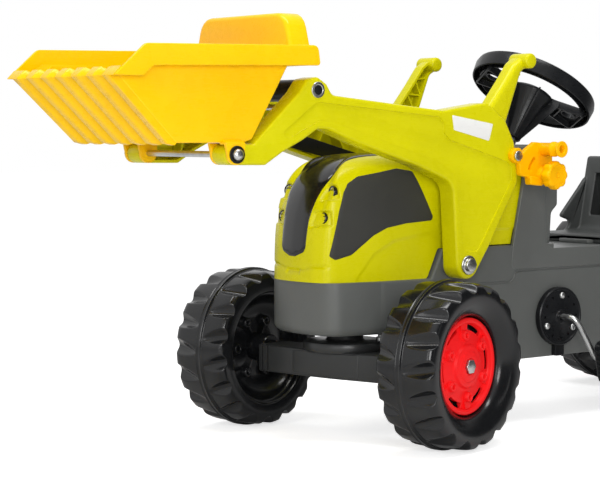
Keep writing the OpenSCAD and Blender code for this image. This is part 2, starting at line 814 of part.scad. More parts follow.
// Seat shell: pan, side wings and a backrest with two openings
module seat() {
    half = seat_w / 2;
    base = saddle_z + gap;
    body = [
        [seat_front, base], [seat_front, pan_z], [back_foot, pan_z], [back_lean, back_top],
        [back_lean - back_t, back_top], [seat_back, base]
    ];
    wing = [
        [-518, 284], [-560, 328], [back_lean + 9, 345], [back_lean - back_t, 345],
        [back_foot - back_t, pan_z - 1], [-531, pan_z - 1], [-545, 275.5]
    ];
    p = inset(body, seat_wall);
    pocket = [p[0] - [0, seat_wall + 1], each [for (i = [1 : 4]) p[i]], p[5] - [0, seat_wall + 1]];
    color("#4b4d4c") place() difference() {
        union() {
            slab(rounded(body, [2, 4, 12, 6, 6, 4]), -half, half);
            both_sides() slab(rounded(wing, [4, 12, 12, 4, 0, 0, 6]), half - 8, half);
        }
        translate([seat_back - 20, -rail_half - gap, saddle_z - 1])
            cube([seat_front - seat_back + 40, 2 * (rail_half + gap), rail_h + 1 + gap]);
        both_sides() slab(pocket, rail_half + 8, half - seat_wall);
        both_sides() translate([seat_back - 20, 52, pan_z + 24])
            cube([100, 36, back_top - 26 - pan_z - 24]);
        translate([seat_screw_x, 0, saddle_z]) cylinder(r = 4, h = pan_z);
    }
}

// Clamp screw of the seat
module seat_screw() {
    foot = saddle_z + rail_h + gap;
    color(steel) place() translate([seat_screw_x, 0, 0]) {
        translate([0, 0, foot]) cylinder(r = 4, h = pan_z - foot);
        translate([0, 0, pan_z]) cylinder(r = 8, h = 3);
    }
}

// Loader arm: a deep shell, open on its inner side, with bosses for its pins
module loader_arm(side) {
    outline = backwards(arm_out);
    outer = rounded(outline, backwards(arm_round), 4);
    grip_wall = 3;
    color(lime) place() mirror([0, side > 0 ? 0 : 1, 0]) difference() {
        union() {
            difference() {
                slab(outer, arm_inner, arm_outer);
                slab(inset(outline, arm_wall), arm_inner - 1, arm_outer - arm_wall);
            }
            bar_y(pivot, boss_r, arm_inner, arm_outer);
            bar_y(elbow, tube_r + 5, arm_inner, arm_outer);
            bar_y(wrist, nose_r, arm_inner, arm_outer);
            bar_y(stop_at, 2 * stop_r, arm_inner, arm_outer - 1);
            bar_y(grip, grip_r, arm_inner - 5, arm_outer + 5);
            if (side > 0) bar_y(lock_ear, 2 * lock_bolt_r, arm_outer - arm_t / 2, arm_outer);
            intersection() {
                slab(outer, arm_inner, arm_outer);
                for (x = [-60, 10, 80]) translate([x, arm_inner, pivot[1]]) cube([3, arm_t, grip[1]]);
            }
        }
        bar_y(pivot, pivot_r + run, 0, arm_spacing);
        bar_y(elbow, tube_r, 0, arm_spacing);
        bar_y(wrist, bucket_rod_r + run, 0, arm_spacing);
        bar_y(stop_at, stop_r, 0, arm_inner + 6);
        bar_y(grip, grip_r - grip_wall, 0, arm_outer - 8);
        if (side > 0) bar_y(lock_ear, lock_bolt_r, arm_inner, arm_spacing);
    }
}
module loader_arm_left() { loader_arm(1); }
module loader_arm_right() { loader_arm(-1); }

tube_bore_r = tube_r - 2.5;
module cross_tube() {
    color(steel) place() difference() {
        bar_y(elbow, tube_r, -arm_outer, arm_outer);
        bar_y(elbow, tube_bore_r, -arm_spacing, arm_spacing);
    }
}

module cross_sleeve() {
    color(black) place() difference() {
        bar_y(elbow, tube_r + 5, -arm_inner, arm_inner);
        bar_y(elbow, tube_r, -arm_spacing, arm_spacing);
    }
}

module tube_plugs() {
    color(black) place() both_sides() bar_y(elbow, tube_bore_r, arm_outer - 14, arm_outer + 1);
}

// Thin rod between the arms, just under the sleeve
module stop_rod() {
    color(steel) place() bar_y(stop_at, stop_r, -arm_inner - 6, arm_inner + 6);
}

// Dark cover on the open inner side of an arm
module arm_cover(side) {
    t = 4;
    color(black) place() mirror([0, side > 0 ? 0 : 1, 0])
        slab(backwards([[42, 398], [-74, 371], [-88, 386], [10, 412]]), arm_inner - t, arm_inner);
}
module arm_cover_left() { arm_cover(1); }
module arm_cover_right() { arm_cover(-1); }

// Lock on the left arm: ear, spool tube and seat of the knob
module lock_bracket() {
    plate = [
        lock_ear - [2, 10], lock_ear + [-2, 10], lock_spool + [17, 9], lock_spool + [-7, 7], [-272, 372],
        [-270, 350], [-248, 343], [-226, 352]
    ];
    color("#ffc000") place() difference() {
        union() {
            bar_y(lock_ear, 10, arm_outer, arm_outer + lock_plate_t);
            slab(plate, arm_outer, arm_outer + lock_plate_t);
            bar_y(lock_spool, 9, arm_outer, arm_outer + 46);
            bar_y(lock_axis, 12, arm_outer, arm_outer + lock_t);
        }
        bar_y(lock_ear, lock_bolt_r, arm_inner, arm_spacing);
        bar_y(lock_spool, 5, arm_outer + 16, arm_spacing);
        bar_y(lock_axis, lock_stud_r + run, arm_inner, arm_spacing);
    }
}

module lock_bolt() {
    color(steel) place() {
        bar_y(lock_ear, lock_bolt_r, arm_outer - arm_t / 2, arm_outer + lock_plate_t);
        bar_y(lock_ear, lock_bolt_r + 3, arm_outer + lock_plate_t, arm_outer + lock_plate_t + 4);
    }
}

// Scalloped knob on its own stud
module lock_knob() {
    face = arm_outer + lock_t + gap;
    color("#ffc000") place() difference() {
        union() {
            bar_y(lock_axis, knob_r, face, face + knob_t);
            bar_y(lock_axis, lock_stud_r, arm_outer + 1, face + 1);
        }
        for (i = [0 : 7])
            bar_y(lock_axis + (knob_r + 3) * [cos(45 * i), sin(45 * i)], 6, face - 1, face + knob_t + 1);
    }
}

// Bucket: side plates, back, floor with ribs below, rear guard and four ears
module bucket() {
    half = max(bucket_w / 2, arm_outer + 16);
    body_half = max(half - rim_step, arm_outer + gap + 1);
    inner = inset(body_out, bucket_wall);
    slope = unit(body_out[0] - body_out[5]);
    out = 8 * [slope[1], -slope[0]];
    ear_w = nose_r;
    ear_t = rod_end - arm_outer - gap;
    guard_t = 27;
    guard_low = half - 24;
    guard_top = half - 37;
    top = rim_z + guard_h;
    back_x = rim_out[2][0] + guard_t + 12;
    rib_step = (2 * body_half - rib_w - 1) / (rib_count - 1);
    color(yellow) place() difference() {
        union() {
            slab(rim_out, -half, half);
            slab(body_out, -body_half, body_half);
            for (i = [0 : rib_count - 1]) {
                y = (i - (rib_count - 1) / 2) * rib_step;
                slab([body_out[0] + [8, -0.9], body_out[0], body_out[5], body_out[5] + out + 4 * slope,
                      body_out[0] + out], y - rib_w / 2, y + rib_w / 2);
            }
            translate([rim_out[3][0], 0, 0]) rotate([90, 0, 90]) linear_extrude(guard_t) polygon(rounded(
                [[guard_low, rim_z - 12], [guard_top, top], [-guard_top, top], [-guard_low, rim_z - 12]],
                [0, 24, 24, 0]
            ));
            both_sides() for (y = [arm_inner - gap - ear_t, arm_outer + gap]) {
                slab([wrist - [ear_w, 0], wrist + [ear_w, 0], [wrist[0] + ear_w + 3, body_out[5][1] + 6],
                      [wrist[0] - ear_w - 1, body_out[5][1] + 6]], y, y + ear_t);
                bar_y(wrist, ear_w, y, y + ear_t);
            }
        }
        slab([[back_x, top + 20], [back_x, rim_out[4][1] + bucket_wall + 4],
              rim_out[4] + [2, bucket_wall + 0.5], rim_out[5] + [1.8, bucket_wall],
              lip + [20, bucket_wall], [lip[0] + 20, top + 20]],
             bucket_wall - half, half - bucket_wall);
        slab([inner[3], inner[4], inner[5], inner[0] + 30 * slope,
              [inner[0][0] + 30, top], [inner[2][0], top]],
             bucket_wall - body_half, body_half - bucket_wall);
        translate([rim_out[3][0] - 1, 0, 0]) rotate([90, 0, 90]) linear_extrude(guard_t + 1 - bucket_wall)
            polygon(rounded(
                [[guard_low - 5, rim_z - 18], [guard_top - 4, top - bucket_wall],
                 [4 - guard_top, top - bucket_wall], [5 - guard_low, rim_z - 18]],
                [0, 20, 20, 0]
            ));
        bar_y(wrist, bucket_rod_r, -half, half);
    }
}

module bucket_rod() {
    color(steel) place() bar_y(wrist, bucket_rod_r, -rod_end - 3, rod_end + 3);
}

module rod_bushes() {
    color(black) place() both_sides() difference() {
        bar_y(wrist, 11, rod_end, rod_end + 3);
        bar_y(wrist, bucket_rod_r, 0, arm_spacing);
    }
}

// Domed caps on the ends of the bucket's rod
module rod_caps() {
    color(steel) place() both_sides() intersection() {
        translate([wrist[0], rod_end - 3, wrist[1]]) sphere(r = 11);
        bar_y(wrist, 9, rod_end + 3, rod_end + 12);
    }
}

chassis_body();
hood();
dash_pillar();
grille_strip();
side_window_left();
side_window_right();
headlamps();
kingpin();
loader_pivot_rod();
pivot_caps();
crank_plate_left();
crank_plate_right();
plate_screws();
rear_axle_bushes();
tow_hitch();
drive_chain();
seat_rail();
axle_beam();
front_axle_rod();
front_nuts();
link_pin();
drag_link();
steering_column();
steering_wheel();
steering_cap();
front_tyre_left();
front_rim_left();
front_tyre_right();
front_rim_right();
rear_axle();
rear_tyre_left();
rear_rim_left();
drive_sprocket();
rear_nuts();
rear_tyre_right();
rear_rim_right();
crank_rod();
chainring();
pedal_left();
pedal_right();
seat();
seat_screw();
loader_arm_left();
loader_arm_right();
cross_tube();
cross_sleeve();
tube_plugs();
stop_rod();
arm_cover_left();
arm_cover_right();
lock_bracket();
lock_bolt();
lock_knob();
bucket();
bucket_rod();
rod_bushes();
rod_caps();
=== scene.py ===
# %% [markdown]
# # A toddler's pedal tractor with a front loader
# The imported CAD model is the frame: it gives every size, every joint and the place of each piece.
# This lesson dresses that frame. Each moulded piece gets its soft edges, grooves and ribs, and each
# finish is built from shader nodes. Sizes are millimetres measured from the front axle, because that is
# how such a toy is drawn up; one function turns them into the frame's metres.

# %% Load the frame and keep its box
import json
import math
import bpy
import bmesh
import numpy as np
from mathutils import Matrix, Vector
from mathutils.bvhtree import BVHTree
from mathutils.geometry import delaunay_2d_cdt


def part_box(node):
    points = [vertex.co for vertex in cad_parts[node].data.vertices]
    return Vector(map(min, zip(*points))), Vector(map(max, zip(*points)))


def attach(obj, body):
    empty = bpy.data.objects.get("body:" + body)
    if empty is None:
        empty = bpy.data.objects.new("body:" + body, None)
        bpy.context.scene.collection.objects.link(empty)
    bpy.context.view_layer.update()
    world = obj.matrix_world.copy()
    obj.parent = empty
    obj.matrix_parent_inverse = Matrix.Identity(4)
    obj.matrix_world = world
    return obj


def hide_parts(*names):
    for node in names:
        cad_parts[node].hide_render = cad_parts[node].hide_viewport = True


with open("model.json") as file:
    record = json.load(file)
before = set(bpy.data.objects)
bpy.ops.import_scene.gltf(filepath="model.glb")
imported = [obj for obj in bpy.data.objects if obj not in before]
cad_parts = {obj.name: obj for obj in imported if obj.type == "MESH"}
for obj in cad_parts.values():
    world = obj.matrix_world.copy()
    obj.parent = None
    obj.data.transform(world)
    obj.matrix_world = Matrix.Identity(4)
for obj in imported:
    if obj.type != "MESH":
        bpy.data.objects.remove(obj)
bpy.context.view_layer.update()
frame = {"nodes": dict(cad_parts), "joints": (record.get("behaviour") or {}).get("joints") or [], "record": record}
NODES = frame["nodes"]
JOINTS = {j["name"]: j for j in frame["joints"]}
SLOT_OF = {s["node"]: s["material_slot"] for s in frame["record"]["subparts"]}
BODY_OF = {n: b for b, names in frame["record"]["behaviour"]["bodies"].items() for n in names}
pin_lo, pin_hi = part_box("kingpin")
AXLE_X = (pin_lo.x + pin_hi.x) / 2
print("frame:", len(NODES), "nodes,", len(JOINTS), "joints, front axle at x =", round(AXLE_X, 4))

# %% [markdown]
# ## Camera, light and floor
# The camera stands where the photograph was taken from: low, a little ahead of the left front wheel.
# Its place and focal length were worked out from the wheels' ellipses. The light is a plain studio set: a
# strip overhead, a soft box beside the camera, two narrow strips for highlights, and a white surround
# that shows in gloss everywhere but on the camera's right, where a dim room keeps the colours deep.


# %% From millimetres at the front axle to the frame's metres
def at(x, y, z):
    return Vector((AXLE_X + x / 1000, y / 1000, z / 1000))


# %% A new object in the scene
def placed(name, data):
    made = bpy.data.objects.new(name, data)
    bpy.context.scene.collection.objects.link(made)
    return made


# %% Camera at the photograph's place
YAW, PITCH = math.radians(52.57), math.radians(3.65)
look = Vector((-math.cos(YAW) * math.cos(PITCH), -math.sin(YAW) * math.cos(PITCH), -math.sin(PITCH)))
camera = placed("camera", bpy.data.cameras.new("camera"))
camera.data.lens, camera.data.sensor_width = 113.8, 36
camera.data.clip_end = 50
camera.location = at(1618.5, 2013.1, 420.9)
camera.rotation_euler = look.to_track_quat("-Z", "Y").to_euler()
bpy.context.scene.camera = camera
bpy.context.scene.view_settings.view_transform = "Standard"
print("camera at", [round(c, 3) for c in camera.location])


# %% One function adds a node to any tree, with its settings and links
def add(tree, kind, inputs=(), **settings):
    node = tree.nodes.new(kind)
    for key, value in settings.items():
        setattr(node, key, value)
    for socket, value in dict(inputs).items():
        if isinstance(value, bpy.types.NodeSocket):
            tree.links.new(value, node.inputs[socket])
        else:
            node.inputs[socket].default_value = value
    return node


# %% A material without nodes, and its tree
def empty_material(name):
    material = bpy.data.materials.new(name)
    material.use_nodes = True
    material.node_tree.nodes.clear()
    return material, material.node_tree


# %% Colours are written as sRGB hex and turned to linear here
def linear(code):
    parts = [int(code[i:i + 2], 16) / 255 for i in (1, 3, 5)]
    return [c / 12.92 if c <= 0.04045 else ((c + 0.055) / 1.055) ** 2.4 for c in parts] + [1]


# %% Lamps: a strip overhead, a soft box beside the camera, narrow strips ahead and on the right
def soft_box(name, place, aim, size, watts):
    lamp = placed(name, bpy.data.lights.new(name, "AREA"))
    lamp.data.shape, lamp.data.size, lamp.data.size_y = "RECTANGLE", size[0], size[1]
    lamp.data.energy = watts
    lamp.location = place
    lamp.rotation_euler = (Vector(aim) - Vector(place)).to_track_quat("-Z", "Y").to_euler()


soft_box("overhead", (0.5, 0.4, 2.4), (0, 0, 0.2), (2.2, 0.5), 36)
soft_box("beside_camera", (1.55, 2.1, 0.85), (0, 0, 0.3), (1.0, 0.9), 27)
soft_box("front_strip", (2.3, 0.98, 0.75), (0.1, 0, 0.3), (0.25, 1.3), 5)
soft_box("right_strip", (-1.0, 2.6, 0.8), (-0.1, 0.1, 0.2), (0.22, 1.4), 1.2)

# %% White surround: full white to the camera and through clear parts, weaker as light on the object
# In gloss it is white behind the toy and falls off to a dim room on the camera's right
world = bpy.data.worlds.new("studio")
bpy.context.scene.world = world
world.use_nodes = True
sky = world.node_tree
sky.nodes.clear()
AMBIENT, DIM_ROOM, ROOM_SIDE = 0.40, 0.06, (-0.608, 0.794, 0.0)
path = add(sky, "ShaderNodeLightPath")
way = add(sky, "ShaderNodeTexCoord").outputs["Generated"]
toward = add(sky, "ShaderNodeVectorMath", {0: way, 1: ROOM_SIDE}, operation="DOT_PRODUCT")
room = add(sky, "ShaderNodeMapRange", {"Value": toward.outputs["Value"], "From Min": 0.05, "From Max": 0.75,
                                       "To Min": 1.0, "To Max": DIM_ROOM})
gloss = add(sky, "ShaderNodeMath", {0: path.outputs["Is Glossy Ray"], 1: room.outputs[0]},
            operation="MULTIPLY")
seen = add(sky, "ShaderNodeMath", {0: path.outputs["Is Camera Ray"], 1: path.outputs["Is Transmission Ray"]},
           operation="ADD")
clear = add(sky, "ShaderNodeMath", {0: seen.outputs[0], 1: gloss.outputs[0]}, operation="MAXIMUM")
other = add(sky, "ShaderNodeMath", {0: path.outputs["Is Diffuse Ray"], 1: AMBIENT}, operation="MULTIPLY")
power = add(sky, "ShaderNodeMath", {0: clear.outputs[0], 1: other.outputs[0]}, operation="MAXIMUM")
glow = add(sky, "ShaderNodeBackground", {"Color": (1, 1, 1, 1), "Strength": power.outputs[0]})
add(sky, "ShaderNodeOutputWorld", {"Surface": glow.outputs[0]})

# %% Floor: pale, nearly white to the camera, and still darkened where the wheels stand
# The paper ends a metre from the toy on the dim side, so that it does not shine in the toy's flank
PAPER_END, PAPER_FAR, PAPER_GLOW = 1.0, 14.0, 0.67
ahead, beside = Vector(ROOM_SIDE), Vector((ROOM_SIDE[1], -ROOM_SIDE[0], 0))
corners = ((PAPER_END, -PAPER_FAR), (PAPER_END, PAPER_FAR),
           (-PAPER_FAR, PAPER_FAR), (-PAPER_FAR, -PAPER_FAR))
floor_mesh = bpy.data.meshes.new("floor")
floor_mesh.from_pydata([ahead * u + beside * v for u, v in corners], [], [(0, 3, 2, 1)])
floor = placed("floor", floor_mesh)
paper, tree = empty_material("floor_paper")
path = add(tree, "ShaderNodeLightPath")
matt = add(tree, "ShaderNodeBsdfDiffuse", {"Color": (0.88, 0.88, 0.88, 1)})
seen = add(tree, "ShaderNodeMath", {0: path.outputs["Is Camera Ray"], 1: path.outputs["Is Transmission Ray"]},
           operation="ADD")
share = add(tree, "ShaderNodeMath", {0: seen.outputs[0], 1: PAPER_GLOW}, operation="MULTIPLY")
white = add(tree, "ShaderNodeEmission", {"Color": (1, 1, 1, 1), "Strength": share.outputs[0]})
mixed = add(tree, "ShaderNodeAddShader", {0: matt.outputs[0], 1: white.outputs[0]})
add(tree, "ShaderNodeOutputMaterial", {"Surface": mixed.outputs[0]})
floor_mesh.materials.append(paper)
print("floor and four lamps set")

# %% [markdown]
# ## Finishes
# Nearly all of this toy is injection- or blow-moulded plastic. Moulded plastic is never one flat colour:
# the pigment drifts a little over a hand's width, the tool leaves a fine spark-eroded grain, and handling
# polishes some patches and scuffs others. One builder gives all of that, with sizes in millimetres.
# Zinc-plated steel has a builder of its own.


# %% Moulded plastic: pigment drift, tool grain, and patches rubbed dull or bright
def moulded(name, colour, rough, grain_mm=0.9, grain=0.05, drift=0.06, scuff=0.10, coat=0.0, shine=0.3):
    material, tree = empty_material(name)
    place = add(tree, "ShaderNodeTexCoord").outputs["Object"]
    # Pigment drift over about 120 mm, and faint flow marks over about 25 mm
    wide = add(tree, "ShaderNodeTexNoise", {"Vector": place, "Scale": 1000 / 120, "Detail": 3.0})
    flow = add(tree, "ShaderNodeTexNoise",
               {"Vector": place, "Scale": 1000 / 25, "Detail": 4.0, "Distortion": 1.2})
    cloud = add(tree, "ShaderNodeMix", {"Factor": 0.35, "A": wide.outputs[0], "B": flow.outputs[0]},
                data_type="FLOAT")
    dark = [c * (1 - drift * 1.6) for c in linear(colour)[:3]] + [1]
    pale = [min(1, c * (1 + drift * 0.8) + drift * 0.012) for c in linear(colour)[:3]] + [1]
    ramp = add(tree, "ShaderNodeValToRGB", {"Fac": cloud.outputs[0]})
    for stop, where, tone in zip(ramp.color_ramp.elements, (0.30, 0.70), (dark, pale)):
        stop.position, stop.color = where, tone
    # Rubbed patches change the gloss, not the colour; fine scratches run mostly along the toy
    along = add(tree, "ShaderNodeMapping", {"Vector": place, "Scale": (60, 420, 420)})
    hair = add(tree, "ShaderNodeTexNoise",
               {"Vector": along.outputs[0], "Scale": 1.0, "Detail": 5.0, "Roughness": 0.7})
    worn = add(tree, "ShaderNodeMix", {"Factor": 0.5, "A": flow.outputs[0], "B": hair.outputs[0]},
               data_type="FLOAT")
    gloss = add(tree, "ShaderNodeMapRange", {"Value": worn.outputs[0], "From Min": 0.3, "From Max": 0.7,
                                             "To Min": max(0.05, rough - scuff), "To Max": rough + scuff})
    # Tool grain: real grain is about 0.1 mm; drawn coarser so that it still shows at this distance
    pits = add(tree, "ShaderNodeTexNoise", {"Vector": place, "Scale": 1000 / grain_mm, "Detail": 2.0})
    bump = add(tree, "ShaderNodeBump", {"Height": pits.outputs[0], "Strength": grain, "Distance": 0.0006})
    skin = add(tree, "ShaderNodeBsdfPrincipled", {
        "Base Color": ramp.outputs[0], "Roughness": gloss.outputs[0], "Normal": bump.outputs[0],
        "IOR": 1.5, "Specular IOR Level": shine, "Coat Weight": coat, "Coat Roughness": 0.12})
    add(tree, "ShaderNodeOutputMaterial", {"Surface": skin.outputs[0]})
    return material


# %% Zinc-plated and drawn steel: bright, with fine turning marks and a slightly uneven plate
def plated(name, colour, rough, streak_mm=0.8):
    material, tree = empty_material(name)
    place = add(tree, "ShaderNodeTexCoord").outputs["Object"]
    along = add(tree, "ShaderNodeMapping",
                {"Vector": place, "Scale": (1000 / streak_mm, 1000 / 14, 1000 / streak_mm)})
    marks = add(tree, "ShaderNodeTexNoise", {"Vector": along.outputs[0], "Scale": 1.0, "Detail": 4.0})
    cloud = add(tree, "ShaderNodeTexNoise", {"Vector": place, "Scale": 1000 / 18, "Detail": 3.0})
    tint = add(tree, "ShaderNodeValToRGB", {"Fac": cloud.outputs[0]})
    worn_plate = [c * 0.72 for c in linear(colour)[:3]] + [1]
    for stop, where, tone in zip(tint.color_ramp.elements, (0.3, 0.7), (worn_plate, linear(colour))):
        stop.position, stop.color = where, tone
    gloss = add(tree, "ShaderNodeMapRange",
                {"Value": marks.outputs[0], "To Min": rough - 0.09, "To Max": rough + 0.14})
    bump = add(tree, "ShaderNodeBump", {"Height": marks.outputs[0], "Strength": 0.08, "Distance": 0.0003})
    skin = add(tree, "ShaderNodeBsdfPrincipled", {
        "Base Color": tint.outputs[0], "Roughness": gloss.outputs[0], "Normal": bump.outputs[0],
        "Metallic": 1.0})
    add(tree, "ShaderNodeOutputMaterial", {"Surface": skin.outputs[0]})
    return material


# %% The finishes of this toy, one for each material slot of the record
FINISH = {
    # Polypropylene in a bright yellow-green, satin from the tool
    "lime_plastic": moulded("lime_polypropylene", "#D2CC00", 0.28, drift=0.05, scuff=0.06, shine=0.20),
    # The same plastic in warm yellow for the scoop
    "bucket_yellow": moulded("yellow_polypropylene", "#FCC800", 0.28, drift=0.05, scuff=0.06, shine=0.24),
    # Deeper yellow nylon of the lock, a little glossier
    "lock_yellow": moulded("amber_nylon", "#FFB800", 0.34, drift=0.05, shine=0.08),
    # Blow-moulded polyethylene: waxy, with a soft sheen and a coarser skin
    "chassis_grey": moulded("grey_polyethylene", "#5D5F5D", 0.34, grain_mm=1.4, grain=0.03, drift=0.03,
                            scuff=0.04, shine=0.36),
    "black_plastic": moulded("black_polypropylene", "#18191B", 0.32, drift=0.12, shine=0.22),
    # Glass-filled nylon of the axle beam: greyer, with a dull shine
    "axle_nylon": moulded("glass_filled_nylon", "#2E2F2F", 0.34, drift=0.08, scuff=0.05, shine=0.36),
    # Polished strip that mirrors the studio
    "gloss_black": moulded("polished_black_abs", "#121213", 0.16, grain=0.01, scuff=0.04, coat=0.4),
    # Matt film behind the side windows
    "window_grey": moulded("matt_grey_film", "#3C3C39", 0.58, grain_mm=0.7, grain=0.09, shine=0.14),
    "lamp_clear": moulded("silvered_lamp", "#C9CBC4", 0.18, grain=0.02, scuff=0.05, coat=0.6, shine=0.5),
    # Blow-moulded tread: waxy black that shows pale streaks where it has been handled
    "tyre_black": moulded("blow_moulded_tread", "#111214", 0.20, grain_mm=1.6, grain=0.03, drift=0.16,
                          scuff=0.05, shine=0.42),
    "rim_red": moulded("red_polypropylene", "#F71B1E", 0.38, drift=0.05, shine=0.16),
    "seat_grey": moulded("seat_polypropylene", "#3F4140", 0.46, grain_mm=1.6, grain=0.12, drift=0.08,
                         shine=0.3),
    "zinc_steel": plated("zinc_plated_steel", "#D2D3D2", 0.28),
    "chain_steel": plated("oiled_steel", "#6E6C68", 0.38),
    # Printed film of the blank labels
    "label_film": moulded("white_label_film", "#E9E9E6", 0.30, grain=0.02, drift=0.02, scuff=0.05),
}
for name, node in NODES.items():
    node.data.materials.clear()
    node.data.materials.append(FINISH[SLOT_OF[name]])
print("finishes:", len(FINISH))

# %% [markdown]
# ## Tools for making shapes
# A shape here is a pair: points in millimetres from the axle, and faces. Outlines are drawn in side view,
# as the CAD draws them, and pulled sideways into plates; profiles are turned round an axle. Keeping shapes
# as plain numbers makes them easy to join, mirror and measure before they become Blender meshes.


# %% Outlines with rounded corners, and plates pulled from them
def rounded(points, radius, steps=5):
    radii = radius if hasattr(radius, "__len__") else [radius] * len(points)
    out = []
    for i, (b, r) in enumerate(zip(points, radii)):
        a, b, c = (np.array(p, float) for p in (points[i - 1], b, points[(i + 1) % len(points)]))
        u, w = (a - b) / np.linalg.norm(a - b), (c - b) / np.linalg.norm(c - b)
        half = math.acos(np.clip(u @ w, -1, 1)) / 2
        if r <= 0 or half > math.pi / 2 - 0.01:
            out.append(b)
            continue
        reach = min(r / math.tan(half), 0.48 * np.linalg.norm(a - b), 0.48 * np.linalg.norm(c - b))
        r = reach * math.tan(half)
        middle = b + (u + w) / np.linalg.norm(u + w) * r / math.sin(half)
        s, e = b + u * reach - middle, b + w * reach - middle
        start = math.atan2(s[1], s[0])
        turn = (math.atan2(e[1], e[0]) - start + 3 * math.pi) % (2 * math.pi) - math.pi
        out += arc(middle, r, start, start + turn, steps + 1)
    return np.array(out)


def stacked(rings):
    """Closed rings with equal counts of points, skinned one to the next and closed at both ends."""
    count, size = len(rings), len(rings[0])
    faces = [[k * size + i, k * size + (i + 1) % size, (k + 1) * size + (i + 1) % size, (k + 1) * size + i]
             for k in range(count - 1) for i in range(size)]
    ends = [list(range(size))[::-1], [(count - 1) * size + i for i in range(size)]]
    return np.vstack(rings), faces + ends


def plate(outline, y0, y1):
    return stacked([[(x, y, z) for x, z in outline] for y in (y0, y1)])


def arc(middle, radius, start, end, count):
    return [(middle[0] + radius * math.cos(a), middle[1] + radius * math.sin(a))
            for a in np.linspace(start, end, count)]


# %% Profiles turned round an axle, tubes along a path, and shapes joined into one
def grid_faces(rows, columns, closed=False):
    last = rows if closed else rows - 1
    after = [(i + 1) % rows for i in range(last)]
    return [[i * columns + j, i * columns + j + 1, after[i] * columns + j + 1, after[i] * columns + j]
            for i in range(last) for j in range(columns - 1)]


def turned(profile, sides=64):
    """A closed profile of (radius, height) turned round the local Z axis."""
    ring = [*profile, profile[0]]
    angles = np.linspace(0, 2 * math.pi, sides, endpoint=False)
    points = np.array([(r * math.cos(a), r * math.sin(a), h) for a in angles for r, h in ring])
    return points, grid_faces(sides, len(ring), closed=True)


def rod(radius, low, high, sides=32):
    """A plain round cutter or stud on the local Z axis."""
    return turned([(0.001, low), (radius, low), (radius, high), (0.001, high)], sides)


def tube(path, radius, sides=12):
    path = np.array(path, float)
    ahead = np.gradient(path, axis=0)
    ahead /= np.linalg.norm(ahead, axis=1)[:, None]
    side = np.cross(ahead[0], (0.31, 0.52, 0.79))
    rings = []
    for p, t in zip(path, ahead):
        side = side - t * (side @ t)
        side /= np.linalg.norm(side)
        up = np.cross(t, side)
        rings.append([p + radius * (math.cos(a) * side + math.sin(a) * up)
                      for a in np.linspace(0, 2 * math.pi, sides, endpoint=False)])
    return stacked(rings)


def joined(*shapes):
    points, faces, start = [], [], 0
    for p, f in shapes:
        points.append(np.asarray(p, float))
        faces += [[i + start for i in face] for face in f]
        start += len(p)
    return np.vstack(points), faces


def moved(shape, matrix):
    points, faces = shape
    m = np.array(matrix)
    return points @ m[:3, :3].T + m[:3, 3], faces


def shifted(shape, x=0, y=0, z=0):
    return shape[0] + (x, y, z), shape[1]


def mirrored(shape):
    return shape[0] * (1, -1, 1), [face[::-1] for face in shape[1]]


SIDES = ((1, "left"), (-1, "right"))


def on_side(side):
    """A function that leaves a shape on the left, or mirrors it to the right."""
    return mirrored if side < 0 else lambda shape: shape


def both(shape):
    return joined(shape, mirrored(shape))


# %% A mesh from a shape, with faces turned outwards, soft edges and smooth shading
def make_object(name, shape):
    mesh = bpy.data.meshes.new(name)
    mesh.from_pydata([at(*p) for p in shape[0]], [], shape[1])
    form = bmesh.new()
    form.from_mesh(mesh)
    bmesh.ops.remove_doubles(form, verts=form.verts, dist=2e-6)
    bmesh.ops.recalc_face_normals(form, faces=form.faces)
    form.to_mesh(mesh)
    form.free()
    return placed(name, mesh)


def shape_of(made, start=AXLE_X):
    """Reads a mesh back as a shape that starts at this X, and removes its object."""
    points = np.array([v.co for v in made.data.vertices]) * 1000 - (start * 1000, 0, 0)
    faces = [list(p.vertices) for p in made.data.polygons]
    bpy.data.objects.remove(made)
    return points, faces


def settled(made):
    """The object's modifiers become its plain mesh."""
    bpy.context.view_layer.update()
    graph = bpy.context.evaluated_depsgraph_get()
    mesh = bpy.data.meshes.new_from_object(made.evaluated_get(graph))
    made.modifiers.clear()
    made.data = mesh
    return made


def soften(made, width, segments=3, angle=32, clamp=True):
    bevel = made.modifiers.new("soft edges", "BEVEL")
    bevel.width, bevel.segments, bevel.limit_method = width / 1000, segments, "ANGLE"
    bevel.angle_limit = math.radians(angle)
    bevel.use_clamp_overlap = clamp
    return settled(made)


def merge(made, *others):
    """The others' meshes join the first object's mesh."""
    form = bmesh.new()
    form.from_mesh(made.data)
    for other in others:
        form.from_mesh(other.data)
        bpy.data.objects.remove(other)
    form.to_mesh(made.data)
    form.free()
    return made


def carve(made, *cutters, operation="DIFFERENCE"):
    """Takes each cutter's shape out of the object, or keeps only what they share."""
    for k, cutter in enumerate(cutters):
        tool = make_object(f"cutter_{k}", cutter)
        cut = made.modifiers.new("cut", "BOOLEAN")
        cut.object, cut.operation, cut.solver = tool, operation, "EXACT"
        settled(made)
        bpy.data.objects.remove(tool)
    return made


def dress(made, node, stands_in=True, crease=38, slot=None, finish=None):
    """Gives the object its finish, lets it ride on the node's body, and may stand it in for the node."""
    slot = slot or SLOT_OF[node]
    made.data.materials.clear()
    made.data.materials.append(FINISH[finish or slot])
    for face in made.data.polygons:
        face.use_smooth = True
        face.material_index = 0
    made.data.set_sharp_from_angle(angle=math.radians(crease))
    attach(made, BODY_OF[node])
    if stands_in:
        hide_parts(node)
    print(f"{made.name}: {len(made.data.polygons)} faces")
    return made


# %% [markdown]
# ## Repeating a piece
# Tread bars, rim bosses, dimples, pedal ridges and bucket ribs all repeat, round an axle or in a row. One
# Geometry Nodes tree does both: it sets points along a step, turns each copy by its share of a full turn,
# makes the copies real and welds the joints between neighbours.

